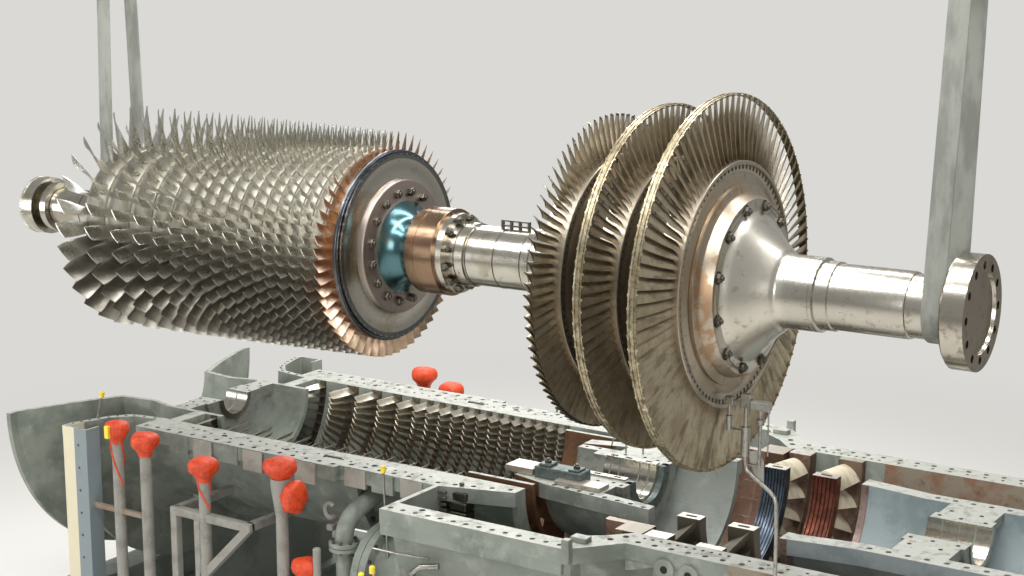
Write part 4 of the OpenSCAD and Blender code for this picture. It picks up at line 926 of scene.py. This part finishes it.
# Steel block and pale pad on the second bearing's near arm, pins and a bent lead on its far side
clamp = [block([0.02, -0.53, Z], [0.42, -0.38, Z + 0.085], 0.008),
         block([0.05, -0.51, Z + 0.084], [0.15, -0.40, Z + 0.105], 0.005),
         block([0.30, -0.51, Z + 0.084], [0.39, -0.40, Z + 0.100], 0.005)]
pad = [block([-0.24, -0.52, Z], [0.0, -0.33, Z + 0.050], 0.005),
       block([0.24, -0.60, Z], [0.62, -0.46, Z + 0.032], 0.005)]
pins = [upright([[0, 0], [0, 0.007], [0.075, 0.007], [0.080, 0.004], [0.080, 0]], (x, y, Z), 10)
        for x, y in ((0.279, 0.373), (0.401, 0.422))]
q = np.linspace(0, 1, 16)
lead = tube(np.stack([0.115 + 0.16 * q, 0.427 - 0.14 * q, Z + 0.19 * np.sin(q * 1.9)], -1), 0.006, 8)
put("bearing_block_and_pads",
    [*tagged(0, *clamp), *tagged(1, *pad), *tagged(2, *pins, lead),
     *tagged(3, *hexes([[0.10, -0.455, Z + 0.105], [0.345, -0.455, Z + 0.100]], "z", 0.028, 0.022, 0.012))],
    [OILED, POLISHED, SILVER, BOLT], "root")


# ---------------------------------------------------------------- holes, pads and bolts of the casings
rng = np.random.default_rng(17)
tapped = []
for s in (-1, 1):
    # Small tapped and dowel holes strewn along the compressor's joint flange, drawn as discs of painted shadow
    xs = np.arange(-3.00, -0.55, 0.083)
    tapped += [[x + rng.uniform(-0.018, 0.018), s * (0.925 + rng.uniform(0, 0.085)), Z] for x in xs]
    # Double rows on the turbine's flange and on the exhaust frame's
    tapped += [[x, s * 1.262, Z] for x in np.arange(1.36, 2.02, 0.061)]
    tapped += [[x, s * 1.275, Z] for x in np.arange(2.12, 4.05, 0.132)]
small = dots(tapped, "z", 0.0115)
wide = dots(both_sides(((-2.62, 0.97), (-1.95, 0.99), (-1.12, 0.96), (1.18, 1.40), (1.24, 1.30), (-0.20, 1.60))),
            "z", 0.022)
# Holes along the cut edge of the bellmouth
edge_line = np.array([[-3.40, 0.882], [-3.66, 0.921], [-3.78, 1.035], [-3.86, 1.22], [-3.905, 1.40]])
u = np.linspace(0.06, 0.97, 10) * (len(edge_line) - 1)
mid = np.stack([np.interp(u, np.arange(len(edge_line)), edge_line[:, c]) for c in (0, 1)], -1)
rim_holes = dots(both_sides(mid), "z", 0.012)
# Near-black discs that paint the shadow inside the holes
put("painted_hole_shadows", tagged(0, small, wide, rim_holes), [HOLE], "root")

# How deep the pads reach into the flange behind them
SUNK = 0.02
pads, rust, pale = [], [], []
for s in (-1, 1):
    for k, x in enumerate(np.arange(-3.04, -1.50, 0.262)):
        odd = k % 2
        (pale if odd else pads).append(side_block(s, (x, x + 0.20), (1.150 - SUNK, 1.158 + 0.008 * odd),
                                                  (Z - 0.150 - 0.02 * odd, Z - 0.006), 0.003))
    for k, x in enumerate(np.arange(-1.30, -0.60, 0.262)):
        odd = k % 2
        (pads if odd else pale).append(side_block(s, (x, x + 0.20), (1.090 - SUNK, 1.098 + 0.008 * odd),
                                                  (Z - 0.150, Z - 0.006), 0.003))
    rust.append(side_block(s, (-0.52, -0.465), (1.090 - SUNK, 1.104), (Z - 0.150, Z - 0.004), 0.003))
    # The wrapper's flange stands deeper than its plate, and the turbine's has a wavy lower edge
    pads.append(side_block(s, (-0.468, 1.010), (1.700, 1.737), (Z - 0.185, Z - 0.109), 0.003))
    xs = np.linspace(1.30, 2.038, 40)
    wave = Z - 0.150 - 0.028 * np.cos((xs - 1.30) * 13)
    rows = np.stack([np.stack([np.full(40, v) if np.isscalar(v) else v for v in (xs, s * y, z)], -1)
                     for y, z in ((1.385, Z - 0.108), (1.412, Z - 0.108), (1.412, wave), (1.385, wave))], 1)
    pads.append((rows.reshape(-1, 3),
                 [grid_faces(40, 4, wrap_cols=True), np.arange(4)[None, ::-1], (np.arange(4) + 39 * 4)[None]]))
boss_at = np.array([[1.593, 0, Z - 0.118], [1.767, 0, Z - 0.124]])
boss, boss_faces = prism(32, 0.072, 0, 0.030, 0.004)
sides = (("-y", -1.400), ("y", 1.400))
bosses = [placed(turned_to(boss, n), boss_faces, boss_at + [0, y, 0]) for n, y in sides]
# Near-black discs in the bosses paint the shadow of their holes
boss_holes = [dots(boss_at + [0, y, 0], n, 0.026, 0.0315) for n, y in sides]
# Keyway bars beside the compressor's ring flange and blocks at the wrapper flange's ends
keys = [block([-1.60, s * 0.955 - 0.011, Z], [-1.44, s * 0.955 + 0.011, Z + 0.010], 0.002) for s in (-1, 1)]
ends = [side_block(s, (1.012, 1.070), (1.690, 1.745), (Z - 0.100, Z + 0.066), 0.005) for s in (-1, 1)]
ends += [side_block(s, (0.98, 1.10), (1.50, 1.58), (Z, Z + 0.035), 0.004) for s in (-1, 1)]
put("flange_pads_and_bosses",
    [*tagged(0, *pads, *bosses, *ends), *tagged(1, *rust), *tagged(2, *boss_holes), *tagged(3, *keys),
     *tagged(4, *pale)],
    [CASING, HOT, HOLE, BOLT, PALE], "root")

# Bolts of the compressor's ring flange, the bleed pipes' joints and the burner ports' covers
at = np.radians(np.arange(100, 261, 8.0))
front, front_faces = prism(6, 0.024, 1.384, 1.408, 0.003)
rings = [around(prism(6, 0.024, -1.316, -1.292, 0.003), 0.912, at, SEAT),
         around((turned_to(front, "-x"), front_faces), 0.912, at, SEAT)]
spots = [[-1.150 + 0.093 * math.cos(q), s * 1.290 + 0.093 * math.sin(q), 1.5518] for s in (-1, 1)
         for q in ring_angles(8)]
lows = [[x, y, 1.4898] for x, y, z in spots]
covers = [[-1.000, 1.295 * math.sin(a) + 0.348 * math.cos(q), Z - 1.295 * math.cos(a) + 0.348 * math.sin(q)]
          for a in np.radians([-54, -18, 18, 54]) for q in ring_angles(18)]
backs = [[-0.874, y, z] for x, y, z in covers]
put("casing_bolts",
    tagged(0, *rings, *hexes(spots, "z", 0.015, 0.012, 0.010), *hexes(lows, "-z", 0.015, 0.012, 0.006),
           *hexes(covers, "-x", 0.017, 0.014, 0.012), *hexes(backs, "x", 0.017, 0.014)),
    [BOLT], "root")


# ---------------------------------------------------------------- small fittings
def capped_rod(low, high, r=0.009, cap=0.020):
    """Thin rod between two points with a moulded cap over its upper end."""
    a, b = np.asarray(low, float), np.asarray(high, float)
    d = (b - a) / np.linalg.norm(b - a)
    top = [b - d * 0.050, b - d * 0.040, b - d * 0.036, b - d * 0.004, b]
    return tube([a, (a + b) / 2, b], r, 10), tube(top, cap, 14)


rods = [capped_rod(a, b)
        for a, b in (((-0.778, -1.25, 1.490), (-0.811, -1.25, 2.175)),
                     ((-3.86, -1.16, 2.03), (-3.82, -1.12, 2.270)),
                     ((-0.86, 1.15, 1.86), (-0.86, 1.22, 2.14)))]
q = np.linspace(0.25 * math.pi, 1.75 * math.pi, 18)
lug = tube(np.stack([-1.385 + 0.048 * np.cos(q), np.full(18, -1.165), 1.710 + 0.055 * np.sin(q)], -1), 0.019, 12)
foot = [block([-1.42, -1.175, 1.55], [-1.36, -1.08, 1.60], 0.006),
        upright([[0, 0], [0, 0.030], [1.10, 0.030], [1.108, 0.024], [1.108, 0]], (-1.30, -1.43, 0.40), 18)]
tag = block([-3.393, -1.520, 2.035], [-3.351, -1.490, 2.135], 0.003)
plugs = [upright([[0, 0], [0, 0.022], [0.045, 0.022], [0.055, 0.014], [0.055, 0]], c, 12)
         for c in ((-1.015, -0.88, 1.665), (-0.70, -1.66, 1.46), (-0.60, -1.66, 1.53))]
stems = [tube([(x, y, z0), (x, y, (z0 + z1) / 2), (x, y, z1)], 0.011, 10)
         for x, y, z0, z1 in ((-0.70, -1.645, 1.34, 1.47), (-0.60, -1.645, 1.40, 1.54))]
lines = [tube([(-0.62, -1.62, 1.700), (-0.40, -1.63, 1.706), (-0.14, -1.61, 1.715)], 0.008, 8),
         tube([(-0.30, -1.60, 1.45), (-0.26, -1.64, 1.60), (-0.18, -1.66, 1.66), (-0.05, -1.62, 1.68)], 0.022, 12)]
# Straps that hold these lines to the wrapper's shell
straps = [block([x, -1.60, 1.35 + dz], [x + 0.04, -1.50, 1.39 + dz], 0.003)
          for x, dz in ((-0.72, 0.0), (-0.62, 0.06), (-0.32, 0.12))]
put("small_fittings",
    [*tagged(0, *(r for r, c in rods), *lines, *stems), *tagged(1, *(c for r, c in rods), *plugs, tag),
     *tagged(2, lug, *foot, *straps)],
    [SILVER, YELLOW, TUBE], "root")

# Stack of studs and blocks in the gap beside the compressor's rear end
stack = [block([-0.36, -1.06, 1.80 + 0.075 * k], [-0.22, -0.94, 1.865 + 0.075 * k], 0.008) for k in range(3)]
strips = [block([-0.47, -1.09 - 0.006 * k, 1.86 + 0.045 * k], [-0.37, -1.02, 1.885 + 0.045 * k], 0.003)
          for k in range(4)]
put("stud_stack", [*tagged(0, *stack, *hexes([[-0.29, -1.0, 2.015]], "z", 0.035, 0.03, 0.03)), *tagged(1, *strips)],
    [BOLT, SILVER], "root")

# Instrument head on a bent pipe from the exhaust frame's side:
# manifold block, drop tubes with sleeves, bracket plate
IY = -1.600


def drop(x, *steps):
    """Turned tube hanging on the head's plane: (height, radius) steps from the bottom up."""
    low = steps[0][0]
    line = [[0, 0]]
    for (z, r), (z2, r2) in zip(steps, steps[1:]):
        line += [[z - low, r], [z2 - low - 0.002, r]]
    return upright([*line, [steps[-1][0] - low, 0]], (x, IY, low), 14)


bend = np.array([(2.226, 2.86), (2.230, 2.80), (2.240, 2.755), (2.262, 2.735), (2.40, 2.640), (2.428, 2.612),
                 (2.440, 2.570), (2.446, 2.40), (2.447, 2.10)])
q = np.linspace(0, math.pi / 2, 7)[1:]
foot = [(2.447, IY + 0.09 * (1 - math.cos(a)), 2.05 - 0.09 * math.sin(a)) for a in q]
foot += [(2.447, -1.46, 1.96), (2.447, -1.410, 1.96)]
head = [drop(2.115, (2.985, 0.021), (3.075, 0.021), (3.077, 0.010), (3.180, 0.010)),
        drop(2.226, (2.84, 0.028), (3.02, 0.028), (3.022, 0.014), (3.165, 0.014)),
        drop(2.322, (2.78, 0.010), (3.045, 0.010), (3.047, 0.024), (3.080, 0.024), (3.082, 0.013), (3.115, 0.013),
             (3.117, 0.022), (3.150, 0.022)),
        drop(2.374, (2.86, 0.005), (3.16, 0.005)), tube([*((x, IY, z) for x, z in bend), *foot], 0.0125, 12),
        tube([(2.115, IY, 3.000), (2.16, IY, 2.996), (2.226, IY, 2.985)], 0.008, 8),
        tube([(2.322, IY, 2.80), (2.30, IY, 2.79), (2.232, IY, 2.79)], 0.007, 8),
        block([2.090, IY - 0.020, 3.150], [2.145, IY + 0.020, 3.196], 0.006),
        block([2.14, IY - 0.008, 3.160], [2.21, IY + 0.008, 3.178], 0.003),
        block([2.195, IY - 0.024, 3.140], [2.262, IY + 0.024, 3.225], 0.007)]
cup = block([2.262, IY - 0.030, 3.135], [2.385, IY + 0.030, 3.192], 0.008)
plate = slab([[2.245, 2.865], [2.300, 2.885], [2.345, 2.820], [2.352, 2.690], [2.300, 2.700], [2.262, 2.800]],
             0, 0.008)
plate = (np.stack([plate[0][:, 0], IY + 0.004 + plate[0][:, 2], plate[0][:, 1]], -1), plate[1])
flange, flange_faces = prism(20, 0.034, 0, 0.014, 0.002)
flange = (turned_to(flange, "-y") + [2.447, -1.4115, 1.96], flange_faces)
put("instrument_head", [*tagged(0, cup, plate, flange), *tagged(1, *head)], [TUBE, SILVER], "root")


# ---------------------------------------------------------------- pipe ends and box-tube frame
def taped_cap(centre, r, h, seed, axis="z"):
    """Tape-wound bulb: a mushroom profile whose radius swells with the angle and height in a few soft folds."""
    k = np.array([[-1.25, 0.50], [-1.05, 0.56], [-0.86, 0.74], [-0.70, 0.96], [-0.50, 1.04], [-0.28, 1.02],
                  [-0.12, 0.90], [-0.03, 0.62], [0.02, 0.30]])
    n = 36
    a = np.arange(n) * 2 * math.pi / n
    fold = (1 + 0.055 * np.sin(5 * a[None] + seed + 2.1 * k[:, :1])
            + 0.03 * np.sin(11 * a[None] - 2 * seed + 5 * k[:, :1]))
    rr = k[:, 1:] * r * fold
    zz = k[:, :1] * h + 0.02 * r * np.sin(3 * a[None] + seed)
    pts = np.stack([zz, -rr * np.sin(a), rr * np.cos(a)], -1).reshape(-1, 3)
    pts = np.concatenate([pts, [[-1.25 * h, 0, 0], [0.03 * h, 0, 0]]])
    m, last, i0 = len(pts), (len(k) - 1) * n, np.arange(n)
    faces = [grid_faces(len(k), n, wrap_cols=True), np.stack([(i0 + 1) % n, i0, np.full(n, m - 2)], -1),
             np.stack([last + i0, last + (i0 + 1) % n, np.full(n, m - 1)], -1)]
    return turned_to(pts, axis) + np.asarray(centre, float), faces


BASE_TOP = 0.4      # the base beams' upper face
caps, tubes = [], []
ENDS = [(-3.375, -1.4, 2.160, 0.095), (-3.067, -1.4, 2.110, 0.108), (-2.441, -1.4, 2.010, 0.112),
        (-1.657, -1.4, 2.140, 0.120), (-1.430, -1.4, 1.400, 0.105), (-2.400, 1.4, 2.160, 0.112),
        (-2.100, 1.4, 2.060, 0.108)]
for n, (x, y, top, r) in enumerate(ENDS):
    caps.append(taped_cap((x, y, top - 0.006), r, 0.150, 1.7 * n))
    up = top - BASE_TOP
    tubes.append(upright([[0, 0], [0, 0.110], [0.020, 0.110], [0.024, 0.106], [0.024, 0.050], [0.030, 0.046],
                          [up - 0.20, 0.046], [up - 0.16, 0.050], [up - 0.05, 0.050], [up - 0.05, 0]],
                         (x, y, BASE_TOP), 24))
# The fourth one's funnel under its cap, and its side branch with a cap of its own
tubes.append(upright([[0, 0], [0, 0.046], [0.24, 0.080], [0.30, 0.082], [0.30, 0]], (-1.657, -1.4, 1.68), 24))
tubes.append(tube([(-1.657, -1.4, 1.850), (-1.60, -1.4, 1.850), (-1.53, -1.4, 1.850)], 0.052, 20))
caps.append(taped_cap((-1.475, -1.4, 1.850), 0.120, 0.120, 4.4, "x"))
# Tape tails wound down the first and third pipes
for x, z0, z1 in ((-3.375, 1.985, 1.62), (-2.441, 1.84, 1.60)):
    q = np.linspace(0, 1, 24)
    for turn in (0.0, 2.4):
        a = turn - 1.0 + 2.6 * q
        caps.append(tube(np.stack([x + 0.049 * np.sin(a), -1.4 - 0.049 * np.cos(a), z0 + (z1 - z0) * q], -1),
                         0.0075, 6))
frame_bars = [block([-2.790, -1.433, 1.494], [-1.960, -1.367, 1.560], 0.006),
              block([-2.790, -1.433, 0.400], [-2.724, -1.367, 1.500], 0.006),
              block([-2.540, -1.433, 0.400], [-2.474, -1.367, 1.500], 0.006),
              block([-2.790, -1.400, 1.494], [-2.724, -0.760, 1.560], 0.006),
              block([-2.026, -1.400, 1.494], [-1.960, -0.760, 1.560], 0.006)]
brace = slab([[-2.490, 0.98], [-2.490, 1.07], [-2.05, 1.500], [-1.965, 1.500]], 0, 0.066)
frame_bars.append((np.stack([brace[0][:, 0], -1.433 + brace[0][:, 2], brace[0][:, 1]], -1), brace[1]))
# Flat bar between the corner angle and the second pipe
tie = [block([-3.66, -1.43, 1.395], [-3.10, -1.39, 1.435], 0.004)]
feet = [block([x, -1.45, 0.398], [x + 0.126, -1.35, 0.412], 0.003) for x in (-2.820, -2.570)]
put("pipes_caps_and_frame", [*tagged(0, *tubes, *frame_bars, *feet), *tagged(1, *caps), *tagged(2, *tie)],
    [TUBE, TAPE, HOT], "root", ["pipe_stands"], 50)


# ---------------------------------------------------------------- CAD nodes shown as they are
SHOWN = {
    "front_shaft": SHAFT, "turbine_front_shaft": SHAFT, "load_coupling": COUPLING,
    "turbine_spacers": DARK, "base_frame": BASE, "casing_supports": BASE, "inlet_casing": INLET,
    "bearing_1": BEARING, "compressor_casing": CASING, "inner_barrel": BARREL, "bearing_2": BEARING,
    "turbine_casing": CASING, "first_shroud": SHROUD, "exhaust_frame": HOT, "exhaust_barrel": EXHAUST,
    "bearing_3": BEARING,
}
for name, mat in SHOWN.items():
    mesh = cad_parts[name].data
    if not mesh.materials:
        mesh.materials.append(mat)
    for k in range(len(mesh.materials)):
        mesh.materials[k] = mat


# ---------------------------------------------------------------- floor, light, camera
floor = bpy.data.meshes.new("floor")
floor.from_pydata([(-60, -60, 0), (60, -60, 0), (60, 60, 0), (-60, 60, 0)], [], [(0, 1, 2, 3)])
ground = bpy.data.materials.new("floor_pale")
ground.use_nodes = True
tree = ground.node_tree
surface = tree.nodes["Principled BSDF"]
surface.inputs["Base Color"].default_value = linear("DDDBD6")
surface.inputs["Roughness"].default_value = 0.85
# Away from the object and its shadow the floor passes into the backdrop's own colour for the camera
away = node(tree, "ShaderNodeVectorMath", {"operation": "LENGTH"},
            i0=node(tree, "ShaderNodeTexCoord").outputs["Object"]).outputs["Value"]
fade = maths(tree, "MULTIPLY", ramp(tree, away, 5.5, 13.0),
             node(tree, "ShaderNodeLightPath").outputs["Is Camera Ray"])
blend = node(tree, "ShaderNodeMixShader", None, i0=fade, i1=surface.outputs[0],
             i2=node(tree, "ShaderNodeEmission", None, Color=linear("DAD9D5"), Strength=1.0).outputs[0])
tree.links.new(blend.outputs[0], tree.nodes["Material Output"].inputs["Surface"])
floor.materials.append(ground)
floor_obj = bpy.data.objects.new("floor", floor)
bpy.context.collection.objects.link(floor_obj)


def softbox(name, place, aim, size, watts):
    """Rectangular area light at place, facing aim."""
    light = bpy.data.lights.new(name, "AREA")
    light.shape = "RECTANGLE"
    light.size, light.size_y = size
    light.energy = watts
    obj = bpy.data.objects.new(name, light)
    obj.location = place
    obj.rotation_euler = (Vector(aim) - Vector(place)).to_track_quat("-Z", "Y").to_euler()
    bpy.context.collection.objects.link(obj)


# Four long ceiling strips give turned steel its parallel highlights; large soft fills from the sides
for k, y in enumerate((-6.0, -3.2, -0.4, 2.4)):
    softbox(f"ceiling_{k}", (0.5, y, 9.5), (0.0, -0.8 + 0.3 * y, 2.5), (12, 0.7), 420)
softbox("near_fill", (9, -13, 6), (0, -1, 3), (7, 5), 560)
softbox("left_fill", (-10, -9, 4), (-1.5, -1, 3), (6, 4), 420)
softbox("far_rim", (-6, 9, 7), (0, -1, 3), (7, 3), 320)

world = bpy.data.worlds.new("studio")
bpy.context.scene.world = world
world.use_nodes = True
wt = world.node_tree
wt.nodes.clear()
path_node = node(wt, "ShaderNodeLightPath")
dim = node(wt, "ShaderNodeBackground", None, Color=linear("D6D6D4"), Strength=0.62)
pale = node(wt, "ShaderNodeBackground", None, Color=linear("DAD9D5"), Strength=1.0)
both = node(wt, "ShaderNodeMixShader", None, i0=path_node.outputs["Is Camera Ray"], i1=dim.outputs[0],
            i2=pale.outputs[0])
node(wt, "ShaderNodeOutputWorld", None, Surface=both.outputs[0])

cam_data = bpy.data.cameras.new("camera")
cam_data.sensor_width = 36.0
cam_data.lens = 60.6
cam = bpy.data.objects.new("camera", cam_data)
cam.location = (6.590, -10.712, 5.823)
cam.rotation_euler = (math.pi / 2 - 0.1928, 0, 0.5861)
bpy.context.collection.objects.link(cam)
bpy.context.scene.camera = cam
bpy.context.scene.view_settings.view_transform = "Standard"
